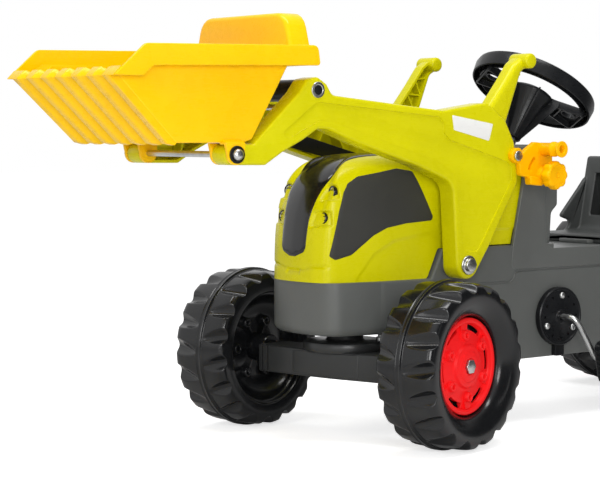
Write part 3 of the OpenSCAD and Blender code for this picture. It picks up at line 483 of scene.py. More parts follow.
# %% The tree, with named inputs for its sizes
repeat_tree = bpy.data.node_groups.new("repeat_piece", "GeometryNodeTree")
SOCKET = {}
for label, kind in (("Piece", "Geometry"), ("Count", "Int"), ("Turn", "Float"), ("Step", "Vector"),
                    ("Weld", "Float"), ("Finish", "Material")):
    socket = repeat_tree.interface.new_socket(label, in_out="INPUT", socket_type="NodeSocket" + kind)
    SOCKET[label] = socket.identifier
repeat_tree.interface.new_socket("Result", in_out="OUTPUT", socket_type="NodeSocketGeometry")
given = add(repeat_tree, "NodeGroupInput")
index = add(repeat_tree, "GeometryNodeInputIndex")
less = add(repeat_tree, "ShaderNodeMath", {0: given.outputs["Count"], 1: 1.0}, operation="SUBTRACT")
half = add(repeat_tree, "ShaderNodeMath", {0: less.outputs[0], 1: 0.5}, operation="MULTIPLY")
offset = add(repeat_tree, "ShaderNodeMath", {0: index.outputs[0], 1: half.outputs[0]}, operation="SUBTRACT")
spot = add(repeat_tree, "ShaderNodeVectorMath", {0: given.outputs["Step"], "Scale": offset.outputs[0]},
           operation="SCALE")
angle = add(repeat_tree, "ShaderNodeMath", {0: index.outputs[0], 1: given.outputs["Turn"]},
            operation="MULTIPLY")
swing = add(repeat_tree, "ShaderNodeCombineXYZ", {"Z": angle.outputs[0]})
dots = add(repeat_tree, "GeometryNodePoints",
           {"Count": given.outputs["Count"], "Position": spot.outputs[0]})
copies = add(repeat_tree, "GeometryNodeInstanceOnPoints",
             {"Points": dots.outputs[0], "Instance": given.outputs["Piece"], "Rotation": swing.outputs[0]})
real = add(repeat_tree, "GeometryNodeRealizeInstances", {0: copies.outputs[0]})
weld = add(repeat_tree, "GeometryNodeMergeByDistance",
           {"Geometry": real.outputs[0], "Distance": given.outputs["Weld"]})
tinted = add(repeat_tree, "GeometryNodeSetMaterial",
             {"Geometry": weld.outputs[0], "Material": given.outputs["Finish"]})
add(repeat_tree, "NodeGroupOutput", {0: tinted.outputs[0]})


# %% Run the tree on a shape and read the result back as a shape
def repeated(shape, count, turn=0.0, step=(0, 0, 0), weld_mm=0.0, slot="black_plastic"):
    """Copies of a shape in local millimetres, each turned about Z by turn degrees and moved by step."""
    mesh = bpy.data.meshes.new("one")
    mesh.from_pydata([Vector(p) / 1000 for p in shape[0]], [], shape[1])
    one = placed("one", mesh)
    nodes = one.modifiers.new("repeat", "NODES")
    nodes.node_group = repeat_tree
    nodes[SOCKET["Count"]], nodes[SOCKET["Turn"]] = count, math.radians(turn)
    nodes[SOCKET["Step"]] = [c / 1000 for c in step]
    nodes[SOCKET["Weld"]], nodes[SOCKET["Finish"]] = weld_mm / 1000, FINISH[slot]
    return shape_of(settled(one), start=0)

# %% [markdown]
# ## Tyres
# The tyres are hollow blow-moulded plastic. A raised seam band runs round them, a little inside the middle.
# On each side of it scoops are cut out of the barrel, as if by a round bar held at a slant: a scoop starts
# as nothing beside the seam, gets wider and deeper, and runs out over the shoulder in a crisp half-moon
# edge. The two sides are half a bar out of step. Half a tyre, one bar wide, is drawn as a grid whose
# columns follow the scoop's edges, and the repeat tree sets it round the axle.


# %% Where a wheel stands: its middle, its outward axle and a frame to build in
def wheel_frame(joint, side, tyre):
    lo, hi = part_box(tyre)
    middle = ((lo + hi) / 2 - Vector((AXLE_X, 0, 0))) * 1000
    outward = Vector(JOINTS[joint]["axis"]).normalized() * side
    up = Vector((0, 0, 1))
    ahead = up.cross(outward).normalized()
    m = Matrix((ahead, up, outward)).transposed().to_4x4()
    m.translation = middle
    return m


def smooth(edge0, edge1, x):
    t = np.clip((x - edge0) / (edge1 - edge0), 0, 1)
    return t * t * (3 - 2 * t)


def spline(knots):
    """A Catmull-Rom curve through the knots: many points, and the length of the curve up to each."""
    knots = np.array(knots, float)
    fine = []
    for k in range(len(knots) - 1):
        p0, p1, p2, p3 = (knots[np.clip(k + d, 0, len(knots) - 1)] for d in (-1, 0, 1, 2))
        for t in np.linspace(0, 1, 40, endpoint=False):
            fine.append(0.5 * (2 * p1 + (p2 - p0) * t + (2 * p0 - 5 * p1 + 4 * p2 - p3) * t ** 2
                               + (3 * p1 - p0 - 3 * p2 + p3) * t ** 3))
    fine = np.array(fine + [knots[-1]])
    return fine, np.concatenate([[0], np.cumsum(np.hypot(*np.diff(fine, axis=0).T))])


# %% Half a tyre, one bar wide: from the seam over the shoulder and the wall to the opening
SEAM_HALF, SEAM_UP, SEAM_IN, SEAM_HOLLOW = 4.2, 3.0, 5.0, 0.7
SCOOP_START, SCOOP_HALF, SCOOP_LEAN, EDGE = 2.0, 0.36, 0.19, 0.5
SLICE_COLUMNS, SCOOP_SHARE = 29, 0.32
CROWN = ((1.0, 0.0), (0.999, 0.3), (0.996, 0.6), (0.987, 0.82), (0.963, 0.94), (0.918, 0.995), (0.85, 1.0),
         (0.78, 0.975), (0.73, 0.93))


def soft_least(a, b):
    """The smaller of two heights, with a small round where they meet."""
    least = np.minimum(a, b)
    return least - EDGE * np.log(np.exp((least - a) / EDGE) + np.exp((least - b) / EDGE))


def tyre_slice(r, half_w, opening, bars, depth, hand):
    top = r - SEAM_UP
    fine, run = spline([(top * a, half_w * b) for a, b in CROWN] + opening)
    end = run[np.argmax(fine[:, 0] < r * 0.84)]
    # Rows: close together at the seam's edge and over the shoulder, wider apart down the wall
    lip_rows = [0, 1.8] + [SEAM_HALF + d for d in (-1.5, -0.8, -0.2, 0.4, 1.1)]
    reach = np.concatenate([lip_rows, np.linspace(SEAM_HALF + 2.4, half_w * 0.8, 20),
                            np.linspace(half_w * 0.82, end, 24), np.linspace(end + 2.5, run[-1], 14)])
    section = np.stack([np.interp(reach, run, fine[:, i]) for i in (0, 1)], 1)
    # How far across the scoop is, and from that its half width, its lean and its depth
    share = np.clip((section[:, 1] - SEAM_HALF - SCOOP_START) / (half_w - SEAM_HALF - SCOOP_START), 0.0, 1.0)
    half = SCOOP_HALF * np.sqrt(np.maximum(share, 0.06))
    lean = SCOOP_LEAN * share
    gather = smooth(SEAM_HALF - 2, SEAM_HALF + 2, reach)
    lips = smooth(SEAM_HALF + 0.7, SEAM_HALF - 0.5, reach)
    band = SEAM_UP * lips - SEAM_HOLLOW * smooth(SEAM_HALF - 0.6, SEAM_HALF - 2.4, reach)
    pitch = 2 * math.pi / bars
    points = []
    for e in np.linspace(-0.5, 0.5, SLICE_COLUMNS):
        if abs(e) <= SCOOP_SHARE:
            column = e / SCOOP_SHARE * half
        else:
            column = np.sign(e) * (half + (abs(e) - SCOOP_SHARE) / (0.5 - SCOOP_SHARE) * (0.5 - half))
        phase = e + (column - e) * gather
        floor = top - depth * share ** 0.8 * (1 - (phase / half) ** 2) + 2.0 * smooth(0.05, 0.0, share)
        rho = soft_least(section[:, 0], floor) + band
        angle = -hand * (phase + lean) * pitch
        points += [(q * math.cos(a), q * math.sin(a), z) for q, z, a in zip(rho, section[:, 1], angle)]
    faces = grid_faces(SLICE_COLUMNS, len(section))
    return np.array(points), faces if hand < 0 else [f[::-1] for f in faces]


def whole_tyre(r, w, seat_r, bars, depth, hand):
    h = w / 2
    outer = [(r * 0.67, h * 0.86), (seat_r + 4, h * 0.75), (seat_r + 1.4, h * 0.65),
             (seat_r + 0.3, h * 0.55), (seat_r, h * 0.47)]
    inner = [(r * 0.70, h * 0.90), (r * 0.665, h * 0.84), (r * 0.645, h * 0.74)]
    front = tyre_slice(r, h + SEAM_IN, [(q, z + SEAM_IN) for q, z in outer], bars, depth, hand)
    back = tyre_slice(r, h - SEAM_IN + 1.5, [(q, z - SEAM_IN) for q, z in inner], bars, depth, hand)
    back = moved(back, Matrix.Rotation(math.pi / bars, 4, "Z"))
    back = (back[0] * (1, 1, -1), [f[::-1] for f in back[1]])
    ring = [repeated(s, bars, turn=360 / bars, weld_mm=0.02, slot="tyre_black") for s in (front, back)]
    points, faces = joined(*ring)
    return points - (0, 0, SEAM_IN), faces


# %% The wheel's dark back: a dished web with bosses, ribs and a hub, seen from the inside
def wheel_back(r, w, seat_r, hub_r, bore_r):
    h = w / 2
    web = turned([
        (bore_r, -h), (hub_r, -h), (hub_r + 1.5, -h + 2), (hub_r + 3, -h * 0.30), (seat_r * 0.62, -h * 0.22),
        (seat_r * 0.9, -h * 0.3), (r * 0.635, -h * 0.62), (r * 0.645, -h * 0.74), (r * 0.655, -h * 0.5),
        (seat_r + 1.5, h * 0.2), (seat_r, h * 0.5), (seat_r - 3, h * 0.30), (hub_r, h * 0.18),
        (bore_r, h * 0.18)], 72)
    boss_line = [(3.0, 0.0), (8.5, 0.0), (7.5, -9.0), (6.5, -10.0), (4.0, -10.0), (3.0, -9.0)]
    boss = turned(boss_line, 20)
    boss = shifted(boss, seat_r * 0.62, 0, -h * 0.2)
    rib = np.array([(seat_r * 0.62, -1.5), (hub_r, -1.5), (hub_r, 1.5), (seat_r * 0.62, 1.5)])
    stiff = plate(rib, 0, 1)
    stiff = (np.stack([stiff[0][:, 0], stiff[0][:, 2], -h * 0.25 - 7 * stiff[0][:, 1]], 1), stiff[1])
    return joined(web, repeated(joined(boss, stiff), 6, turn=60))


# %% [markdown]
# ## Rims
# The red rim is a shallow cover clipped into the tyre: a raised flange, a face that rises towards a
# stepped hub, six low ring bosses on teardrop arms, and long slots between them that show the dark
# wheel behind.


# %% The cover's turned face, its bosses and its slots
BOSS_TURN, SLOT_TURN = 35.5, 5.5


def rim_cover(seat_r, face, hub_r, bore_r):
    flange = seat_r - 1.2
    heights = [
        (bore_r, -12), (flange - 14, -12), (flange - 9, -9), (flange - 1.5, -9), (flange, -6), (flange, -1.6),
        (flange - 0.6, -0.5), (flange - 1.8, 0), (flange - 5.4, 0), (flange - 6.6, -0.5),
        (flange - 7.2, -1.6), (flange - 8, -5.4), (flange - 9, -6.4), (flange - 12, -6.6),
        (flange - 18, -5.4), (seat_r * 0.56, -3.6), (hub_r + 4, -2.6), (hub_r + 2.4, -2.2),
        (hub_r + 1.6, -1.2), (hub_r + 0.8, 1.0), (hub_r, 1.8), (hub_r - 1, 2.0), (hub_r - 5.5, 2.0),
        (hub_r - 6.2, 2.4), (hub_r - 7, 3.4), (hub_r - 7.8, 3.8), (bore_r + 6, 3.8), (bore_r + 5, 2.4),
        (bore_r, 2.4)]
    dish = turned([(r, face + z) for r, z in heights], 144)
    boss = turned([(2.7, -2.6), (3.2, 1.0), (3.9, 1.8), (5.6, 1.8), (6.4, 1.0), (7.4, -4.0), (8.6, -7.0),
                   (2.7, -7.0)], 28)
    boss = shifted(boss, seat_r * 0.63, 0, face)
    root, tip = seat_r * 0.63, flange - 7
    arm = plate(rounded([(root, -7.4), (tip, -5.2), (tip, 5.2), (root, 7.4)], 0.5, 2), 0, 1)
    arm = (np.stack([arm[0][:, 0], arm[0][:, 2], face - 8 + 5.0 * arm[0][:, 1]], 1), arm[1])
    ring = repeated(joined(boss, arm), 6, turn=60, slot="rim_red")
    return dish, moved(ring, Matrix.Rotation(math.radians(BOSS_TURN), 4, "Z"))


def rim_slots(seat_r, face):
    inner, outer = seat_r - 17.5, seat_r - 10
    first, last = math.radians(SLOT_TURN - 16), math.radians(SLOT_TURN + 16)
    outline = arc((0, 0), inner, first, last, 9) + arc((0, 0), outer, last, first, 9)
    slot = plate(rounded(outline, 1.6, 2), face - 30, face + 4)
    slot = (slot[0][:, [0, 2, 1]], slot[1])
    return repeated(slot, 6, turn=60)


# %% Four wheels
def build_wheel(tag, joint, side, r, w, seat_r, bars, depth, hub_r, bore_r):
    end, hand = tag.split("_")
    m = wheel_frame(joint, side, f"{end}_tyre_{hand}")
    shape = joined(whole_tyre(r, w, seat_r, bars, depth, side), wheel_back(r, w, seat_r, bore_r + 12, bore_r))
    dress(make_object(f"tread_{tag}", moved(shape, m)), f"{end}_tyre_{hand}", crease=50)
    face = (w - 3) / 2 * 0.64
    dish, bosses = rim_cover(seat_r, face, hub_r, bore_r)
    cover = make_object(f"rim_cover_{tag}", moved(dish, m))
    carve(cover, moved(rim_slots(seat_r, face), m))
    merge(cover, make_object("bosses", moved(bosses, m)))
    dress(cover, f"{end}_rim_{hand}", crease=40)


def half_size(node, axis):
    lo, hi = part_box(node)
    return (hi - lo)[axis] * 500


# The front tyre is drawn 3 mm wider than in the CAD model, as its scooped shoulders take width away
FRONT_WHEEL = dict(r=half_size("front_tyre_left", 2), w=87.0, seat_r=65, bars=18, depth=13.0,
                   hub_r=27, bore_r=5.2)
REAR_WHEEL = dict(r=half_size("rear_tyre_left", 2), w=2 * half_size("rear_tyre_left", 1), seat_r=92, bars=20,
                  depth=16.5, hub_r=34, bore_r=6.2)
for tag, joint, side, sizes in (("front_left", "front_left_spin", 1, FRONT_WHEEL),
                                ("front_right", "front_right_spin", -1, FRONT_WHEEL),
                                ("rear_left", "rear_drive_spin", 1, REAR_WHEEL),
                                ("rear_right", "rear_right_spin", -1, REAR_WHEEL)):
    build_wheel(tag, joint, side, **sizes)

# %% [markdown]
# ## Hood
# The hood is a thin moulded shell, open below and behind. In plan it is a long U with a blunt nose; going
# up, the walls rise straight and roll over a soft shoulder. A loft draws it: columns follow the U, and each
# climbs to the ridge along a superellipse, blunt at the sides and rounder over the nose. Lamp pockets, the
# lip line and the crease under the window are small moves of the same grid, so they keep soft edges.

# %% Hood sizes; the plan runs from the nose's middle round its corner to the straight side
HOOD_PLAN = ((91, 0), (90, 18), (87.5, 36), (83.5, 48), (79, 55.5), (72.5, 60.2), (60, 64.3), (35, 70),
             (10, 73.6), (-15, 75))
HOOD_HALF, NOSE_X, NOSE_END = 75.0, 91.0, -15.0
SEAM_Z, DECK_Z, HOOD_WALL = 218.0, 258.0, 4.0
BACK_X, BACK_LEAN = -246.4, 26.6 / 139
STEP_BACK, STEP_FRONT = -107.0, -87.0
RIDGE_X, RIDGE_Z, RIDGE_RISE = -40.0, 385.5, 7.5 / 233
NOSE_STARTS, NOSE_RIDGE = -100.0, 60.0
SIDE_POWER, FRONT_POWER = 5.5, 2.95
SHOULDER, WALL_ROWS, ROOF_ROWS = 0.86, 78, 30
LAMPS = ((60.6, 47.6, 338.0), (72.6, 44.4, 303.2))
LAMP_R = 8.0
LIP_LINE_Z, LIP_LINE_RISE, LIP_LINE_DEEP, LIP_LINE_WIDE = 234.5, 4.5, 2.4, 1.9
CREASE_X, CREASE_Z, CREASE_DEEP = (-250, -80, -23.4, 9.6, 36.1, 44), (281, 279, 271, 254, 222, 205), 1.3
hood_plan = spline(HOOD_PLAN)[0]


# %% The plan's U, the back edge and the lower edge
def nose_at(y):
    return np.interp(np.abs(y), hood_plan[:, 1], hood_plan[:, 0])


def hood_columns():
    """Each column: share along the straight side (None on the nose), and y there."""
    dense = HOOD_HALF * np.sin(np.linspace(math.pi / 2, 0, 400))
    line = np.stack([nose_at(dense), dense], 1)
    run = np.concatenate([[0], np.cumsum(np.hypot(*np.diff(line, axis=0).T))])
    nose = np.interp(np.linspace(0, run[-1], 84), run, dense)
    half = [(share, HOOD_HALF) for share in np.linspace(0, 1, 84)[:-1]] + [(None, y) for y in nose]
    return half + [(share, -y) for share, y in half[-2::-1]]


def hood_column(share, y):
    """Points of one column from the lower edge to the ridge."""
    away = abs(y) / HOOD_HALF
    power = FRONT_POWER + (SIDE_POWER - FRONT_POWER) * smooth(0.62, 1.05, away)
    low = np.linspace(0, SHOULDER, WALL_ROWS)
    in_low = (1 - low ** power) ** (1 / power)
    in_top = np.linspace(in_low[-1], 0, ROOF_ROWS)[1:]
    height = np.concatenate([low, (1 - in_top ** power) ** (1 / power)])
    inward = np.concatenate([in_low, in_top])
    back = BACK_X - BACK_LEAN * (SEAM_Z + height * (RIDGE_Z - SEAM_Z) - DECK_Z)
    x = back + (NOSE_END - back) * share if share is not None else np.full_like(height, nose_at(y))
    along = x[0] if share is None else -250 + (NOSE_END + 250) * share
    lower = np.interp(along, [STEP_BACK, STEP_FRONT], [DECK_Z, SEAM_Z])
    start = (lower - SEAM_Z) / (RIDGE_Z - SEAM_Z)
    in_wall = np.arange(len(height)) < WALL_ROWS
    height = np.where(in_wall, start + height * (SHOULDER - start) / SHOULDER, height)
    inward = np.where(in_wall, (1 - height ** power) ** (1 / power), inward)
    straight = x < NOSE_STARTS
    ridge = np.where(straight, x, NOSE_STARTS + (x - NOSE_STARTS) * NOSE_RIDGE / (NOSE_X - NOSE_STARTS))
    top = RIDGE_Z - (ridge - RIDGE_X) * RIDGE_RISE
    return np.stack([ridge + (x - ridge) * np.where(straight, 1, inward), y * inward,
                     SEAM_Z + height * (top - SEAM_Z)], 1)


hood_grid = np.array([hood_column(share, y) for share, y in hood_columns()])


# %% Surface details: lip line and notch, crease under the window, pockets for the lamps
def hood_details(grid):
    x, y, z = grid[..., 0], grid[..., 1], grid[..., 2]
    along, up = np.gradient(grid, axis=0), np.gradient(grid, axis=1)
    normal = np.cross(up, along)
    normal /= np.maximum(np.linalg.norm(normal, axis=2), 1e-9)[..., None]
    front = smooth(25, 45, x)
    lip = LIP_LINE_Z + LIP_LINE_RISE * smooth(14, 42, np.abs(y))
    move = -LIP_LINE_DEEP * np.exp(-((z - lip) / LIP_LINE_WIDE) ** 2) * front * smooth(62, 52, np.abs(y))
    move -= 2.6 * smooth(15, 13.5, np.abs(y)) * smooth(228.5, 230, z) * smooth(235, 234, z) * front
    crease = np.interp(x, CREASE_X, CREASE_Z)
    move -= CREASE_DEEP * smooth(2.5, -2.5, z - crease) * smooth(44, 30, x) * (np.abs(y) > 60)
    out = grid + normal * move[..., None]
    for lx, ly, lz in LAMPS:
        side = np.abs(y)
        floor = np.interp(side, [ly - 20, ly - 7, ly + 14], [nose_at(ly - 20), lx - 1.5, lx - 3.5])
        inside = smooth(LAMP_R + 2.6, LAMP_R + 0.6, np.abs(z - lz + 0.22 * (ly - side) * (side < ly)))
        sunk = np.clip(out[..., 0] - floor, 0, None) * inside * smooth(ly - 20, ly - 15, side) * (x > 40)
        out[..., 0] -= sunk
    return out, normal


hood_skin, hood_normal = hood_details(hood_grid)


# %% Shell: outer grid, inner grid, and the rim that joins them below and behind
def shell(outer, inner):
    columns, rows = outer.shape[:2]
    faces = grid_faces(columns, rows)
    count = columns * rows
    inside = [[i + count for i in face[::-1]] for face in faces]
    rim = [(i * rows, (i + 1) * rows) for i in range(columns - 1)]
    rim += [(j + 1, j) for j in range(rows - 1)]
    rim += [((columns - 1) * rows + j, (columns - 1) * rows + j + 1) for j in range(rows - 1)]
    rim_faces = [[b, a, a + count, b + count] for a, b in rim]
    return np.vstack([outer.reshape(-1, 3), inner.reshape(-1, 3)]), faces + inside + rim_faces


hood = make_object("hood_shell", shell(hood_skin, hood_grid - hood_normal * HOOD_WALL))
hood_tree = BVHTree.FromPolygons([tuple(p) for p in hood_skin.reshape(-1, 3)],
                                 grid_faces(*hood_skin.shape[:2]))
dress(hood, "hood", crease=60)
print("hood from x", round(hood_skin[..., 0].min()), "to", round(hood_skin[..., 0].max()), "mm")

# %% [markdown]
# ## Panels that lie on the hood
# The side windows and the strip over the nose are thin panels that follow the hood. Each is drawn flat, cut
# into small triangles, and every point is dropped on the hood along one direction; the edge is rolled down.


# %% An outline with points no further apart than a step, and one moved inwards
def spaced(outline, step):
    out = []
    for a, b in zip(outline, np.roll(outline, -1, 0)):
        count = max(1, int(np.linalg.norm(b - a) / step))
        out += [a + (b - a) * k / count for k in range(count)]
    return np.array(out)


def inset(outline, distance):
    """The outline moved to its left by a distance; anticlockwise outlines shrink."""
    outline = np.array(outline, float)
    ahead = np.roll(outline, -1, 0) - outline
    ahead /= np.linalg.norm(ahead, axis=1)[:, None]
    left = np.stack([-ahead[:, 1], ahead[:, 0]], 1)
    turn = left + np.roll(left, 1, 0)
    return outline + turn * (distance / np.maximum(0.35, (turn * left).sum(1)))[:, None]


def area_of(outline):
    after = np.roll(outline, -1, 0)
    return 0.5 * float((outline[:, 0] * after[:, 1] - after[:, 0] * outline[:, 1]).sum())


# %% A panel draped over a surface
def draped(outline, drop, lift, step=4.0, roll=1.6, sunk=1.0):
    """drop(u, v) gives the surface's point and normal under a flat place."""
    outline = outline if area_of(outline) > 0 else outline[::-1]
    edge = spaced(outline, step * 0.6)
    ring = inset(edge, roll)
    lo, hi = edge.min(0), edge.max(0)
    field = [(u, v) for u in np.arange(lo[0], hi[0], step) for v in np.arange(lo[1], hi[1], step)]
    near = [min(np.hypot(*(edge - f).T)) > roll + step * 0.5 for f in field]
    flat = [Vector(p) for p in np.vstack([edge, ring, [f for f, keep in zip(field, near) if keep]])]
    rim = [(i, (i + 1) % len(edge)) for i in range(len(edge))]
    places, _, tris, _, _, _ = delaunay_2d_cdt(flat, rim, [list(range(len(edge)))], 1, 1e-4)
    top, under = [], []
    for place in places:
        point, normal = drop(place.x, place.y)
        depth = min(np.hypot(*(edge - np.array(place)).T))
        top.append(point + normal * lift * (0.25 + 0.75 * math.sin(min(1, depth / roll) * math.pi / 2)))
        under.append(point - normal * sunk)
    count = len(places)
    used = {}
    for tri in tris:
        for a, b in zip(tri, list(tri[1:]) + [tri[0]]):
            used[(a, b)] = True
    open_edges = [(a, b) for a, b in used if (b, a) not in used]
    faces = [list(t) for t in tris] + [[i + count for i in reversed(t)] for t in tris]
    faces += [[b, a, a + count, b + count] for a, b in open_edges]
    return np.array([list(p) for p in top + under]), faces


def onto_hood(start, direction):
    point, normal, _, _ = hood_tree.ray_cast(Vector(start), Vector(direction))
    if point is None:
        point, normal, _, _ = hood_tree.find_nearest(Vector(start) + Vector(direction) * 100)
    return point, normal if normal.dot(Vector(direction)) < 0 else -normal

# %% Side windows: seen from the side, dropped straight in
WINDOW = np.array([
    (74.8, 253.5), (67, 248.5), (44, 254.7), (32.8, 263.5), (10.8, 279.6), (-11.3, 289.1), (-44.8, 294.1),
    (-90.5, 296.9), (-92.8, 302.2), (-61.5, 364), (-35.5, 368), (30, 358), (45, 349), (52.5, 337),
    (60.5, 313)])
WINDOW_ROUND = (3, 4, 12, 14, 20, 20, 24, 3, 3, 6, 10, 12, 8, 10, 12)
window = rounded(WINDOW, WINDOW_ROUND, 4)
for side, tag in SIDES:
    pane = draped(window, lambda x, z: onto_hood((x, side * 140, z), (0, -side, 0)), lift=1.2)
    dress(make_object(f"window_{tag}", pane), f"side_window_{tag}", crease=50)

# %% The strip over the nose: drawn along the hood's middle line, wider as it climbs
middle = len(hood_skin) // 2
ridge_line = [(x, 0, RIDGE_Z - (x - RIDGE_X) * RIDGE_RISE) for x in np.arange(RIDGE_X - 4, -258, -4)]
spine = np.array([p for p in hood_grid[middle] if p[2] > 250.5] + ridge_line)[:, [0, 2]]
spine_run = np.concatenate([[0], np.cumsum(np.hypot(*np.diff(spine, axis=0).T))])
spine_way = np.gradient(spine, axis=0)


def onto_strip(s, y):
    x, z, way_x, way_z = (np.interp(s, spine_run, line[:, k]) for line in (spine, spine_way) for k in (0, 1))
    way = Vector((way_x, 0, way_z)).normalized()
    out = Vector((way.z, 0, -way.x))
    return onto_hood(Vector((x, y, z)) + out * 40, -out)


STRIP = np.array([(0, 6), (6, 22), (12, 25.5), (50, 27), (78, 31), (110, 36), (160, 39), (spine_run[-1], 40)])
STRIP_ROUND = [1, 5, 8, 60, 60, 60, 60, 3]
strip_line = rounded(np.vstack([STRIP, STRIP[::-1] * (1, -1)]), STRIP_ROUND + STRIP_ROUND[::-1], 5)
strip = draped(strip_line, onto_strip, lift=1.3)
dress(make_object("nose_strip", strip), "grille_strip", crease=50)


# %% Lamps: a silvered bowl with a bulb, behind a dark ring with two slats, at the bottom of each pocket
def lamp(x, y, z):
    bowl = turned([(0.01, 0.2), (1.4, 0.0), (2.2, -1.0), (2.6, -2.4), (5.0, -1.6), (6.2, 0.2), (6.6, -5),
                   (0.01, -5)], 40)
    ring = turned([(6.0, -4), (6.2, 0.6), (6.8, 1.4), (LAMP_R - 0.8, 1.4), (LAMP_R, 0.6), (LAMP_R, -5)], 40)
    slats = [plate([(h - 0.5, -1.5), (h + 0.5, -1.5), (h + 0.5, 0.6), (h - 0.5, 0.6)], -6.2, 6.2)
             for h in (-2.4, 2.4)]
    facing = Matrix.Rotation(math.radians(-8), 4, "Z") @ Matrix.Rotation(math.radians(84), 4, "Y")
    return [moved(shape, Matrix.Translation((x, y, z)) @ facing) for shape in (bowl, joined(ring, *slats))]


bowls, rings = zip(*(lamp(*place) for place in LAMPS))
dress(make_object("lamps", both(joined(*bowls))), "headlamps", crease=35)
dress(make_object("lamp_rings", both(joined(*rings))), "headlamps", stands_in=False, crease=35,
      slot="gloss_black")

# %% [markdown]
# ## Plates with rolled edges, and copies of CAD pieces
# A moulded plate never ends in a sharp edge. Here it is a stack of rings: the outline again and again,
# each ring a little further in and a little further out towards the face. Pieces whose CAD form already
# fits are copied, their flat areas are merged, and their edges get a small bevel.


# %% A plate as a stack of rings
def pillow(raw, radii, y0, y1, soft0, soft1, steps=4, grow=0.0):
    raw = np.array(raw, float)
    radii = np.array(radii if hasattr(radii, "__len__") else [radii] * len(raw), float)
    if area_of(raw) < 0:
        raw, radii = raw[::-1], radii[::-1]
    before, after = raw - np.roll(raw, 1, 0), np.roll(raw, -1, 0) - raw
    convex = before[:, 0] * after[:, 1] - before[:, 1] * after[:, 0] > 0
    turns = np.linspace(0, math.pi / 2, steps + 1)
    rings = [(soft0 * (1 - math.sin(t)), y0 + soft0 * (1 - math.cos(t))) for t in turns]
    rings += [(soft1 * (1 - math.cos(t)), y1 - soft1 * (1 - math.sin(t))) for t in turns]
    layers = []
    for d, y in rings:
        d -= grow
        r = np.where(radii == 0, 0, np.where(convex, np.maximum(radii - d, 0.2), radii + d))
        layers.append([(x, y, z) for x, z in rounded(inset(raw, d), r, 4)])
    return stacked(layers)


def along_y(x, y, z):
    """A frame whose Z axis runs along the toy's Y, for pins, tubes and knobs."""
    return Matrix(((1, 0, 0, x), (0, 0, 1, y), (0, -1, 0, z), (0, 0, 0, 1)))


def pin(x, z, radius, y0, y1, sides=40):
    """A plain cutter or boss along Y."""
    return moved(rod(radius, 0, y1 - y0, sides), along_y(x, y0, z))


def bar(a, b, width, y0, y1):
    """A straight rib between two places in side view."""
    a, b = np.array(a, float), np.array(b, float)
    side = np.array([a[1] - b[1], b[0] - a[0]]) / np.linalg.norm(b - a) * width / 2
    return plate([a - side, b - side, b + side, a + side], y0, y1)


# %% A copy of a CAD piece with merged flats and softened edges
def from_cad(name, node, soft, segments=2, clamp=True):
    form = bmesh.new()
    mesh = NODES[node].data.copy()
    mesh.transform(NODES[node].matrix_world)
    form.from_mesh(mesh)
    bmesh.ops.remove_doubles(form, verts=form.verts, dist=1e-5)
    bmesh.ops.dissolve_limit(form, angle_limit=math.radians(1), verts=form.verts, edges=form.edges)
    bmesh.ops.recalc_face_normals(form, faces=form.faces)
    mesh = bpy.data.meshes.new(name)
    form.to_mesh(mesh)
    form.free()
    return soften(placed(name, mesh), soft, segments, clamp=clamp)


# %% [markdown]
# ## Loader arms
# Each arm is one moulding, open on the inner side: a skin, a wall round it and zigzag ribs. On the outer
# side a shallow field is sunk into the face, leaving a rim; the upper rear corner stays proud for a label.

# %% Arm outline, rim and sunk field
ARM_IN, ARM_OUT, ARM_WALL = 84.1, 113.1, 4.0
PIVOT, ELBOW, WRIST = (-122.8, 236.8), (135.6, 470.3), (266.3, 389.5)
GRIP, STOP = (-236.7, 515.0), (148.0, 449.0)
NOSE_R, GRIP_R, FOOT_R = 13.0, 10.5, 19.5
# Each boss: its place, its bore and its outer radius
BOSSES = ((PIVOT, 5.3, 13.0), (ELBOW, 9.1, 14.0), (WRIST, 4.3, NOSE_R - 0.4), (STOP, 3.6, 7.0))
ARM = [(217, 376), (190, 392), (160, 406), (134, 421), (116, 420), (68, 402), (-36, 371.5), (-96, 348)]
ARM_ROUND = [4, 12, 12, 8, 8, 12, 20, 24]
foot = arc(PIVOT, FOOT_R, 0.1, -2.5, 17)
ARM, ARM_ROUND = ARM + foot, ARM_ROUND + [0] * 17
ARM += [(-164, 262), (-215, 346), (-215, 362), (-209, 403), (-192, 433), (-158, 457), (-78, 445.5),
        (111, 464), (120, 478), (135, 487), (152, 484), (164, 468), (236, 402)]
ARM_ROUND += [8, 8, 8, 20, 14, 20, 20, 12, 8, 8, 8, 10, 8]
nose = arc(WRIST, NOSE_R, math.pi / 2, -math.pi / 2, 13)
ARM, ARM_ROUND = ARM + nose, ARM_ROUND + [0] * 13
FIELD = [(190, 412), (188.8, 418.5), (136.9, 455.4), (-69.3, 437.5), (-79, 429), (-78.9, 416.3),
         (-88.3, 406.7), (-194.1, 376.5), (-204.6, 368), (-205.6, 352), (-141, 254), (-113, 254), (-101, 352),
         (-91, 363), (-69.7, 376.5), (112, 430), (131, 431), (161.2, 418.1), (180, 409)]
FIELD_ROUND = [4, 5, 14, 8, 8, 8, 8, 12, 6, 8, 10, 8, 10, 10, 14, 10, 14, 10, 6]

# %% Ribs on the inner side: two zigzags along the boom and one down the leg
RIB_WIDE = 2.4
ZIGZAG = [[(212, 384), (196, 432), (168, 406), (150, 462)],
          [(112, 424), (86, 458), (52, 400), (22, 452), (-14, 380), (-44, 446), (-84, 356), (-110, 446),
           (-150, 448)],
          [(-100, 330), (-205, 400), (-104, 292), (-196, 330), (-110, 262), (-172, 290)]]


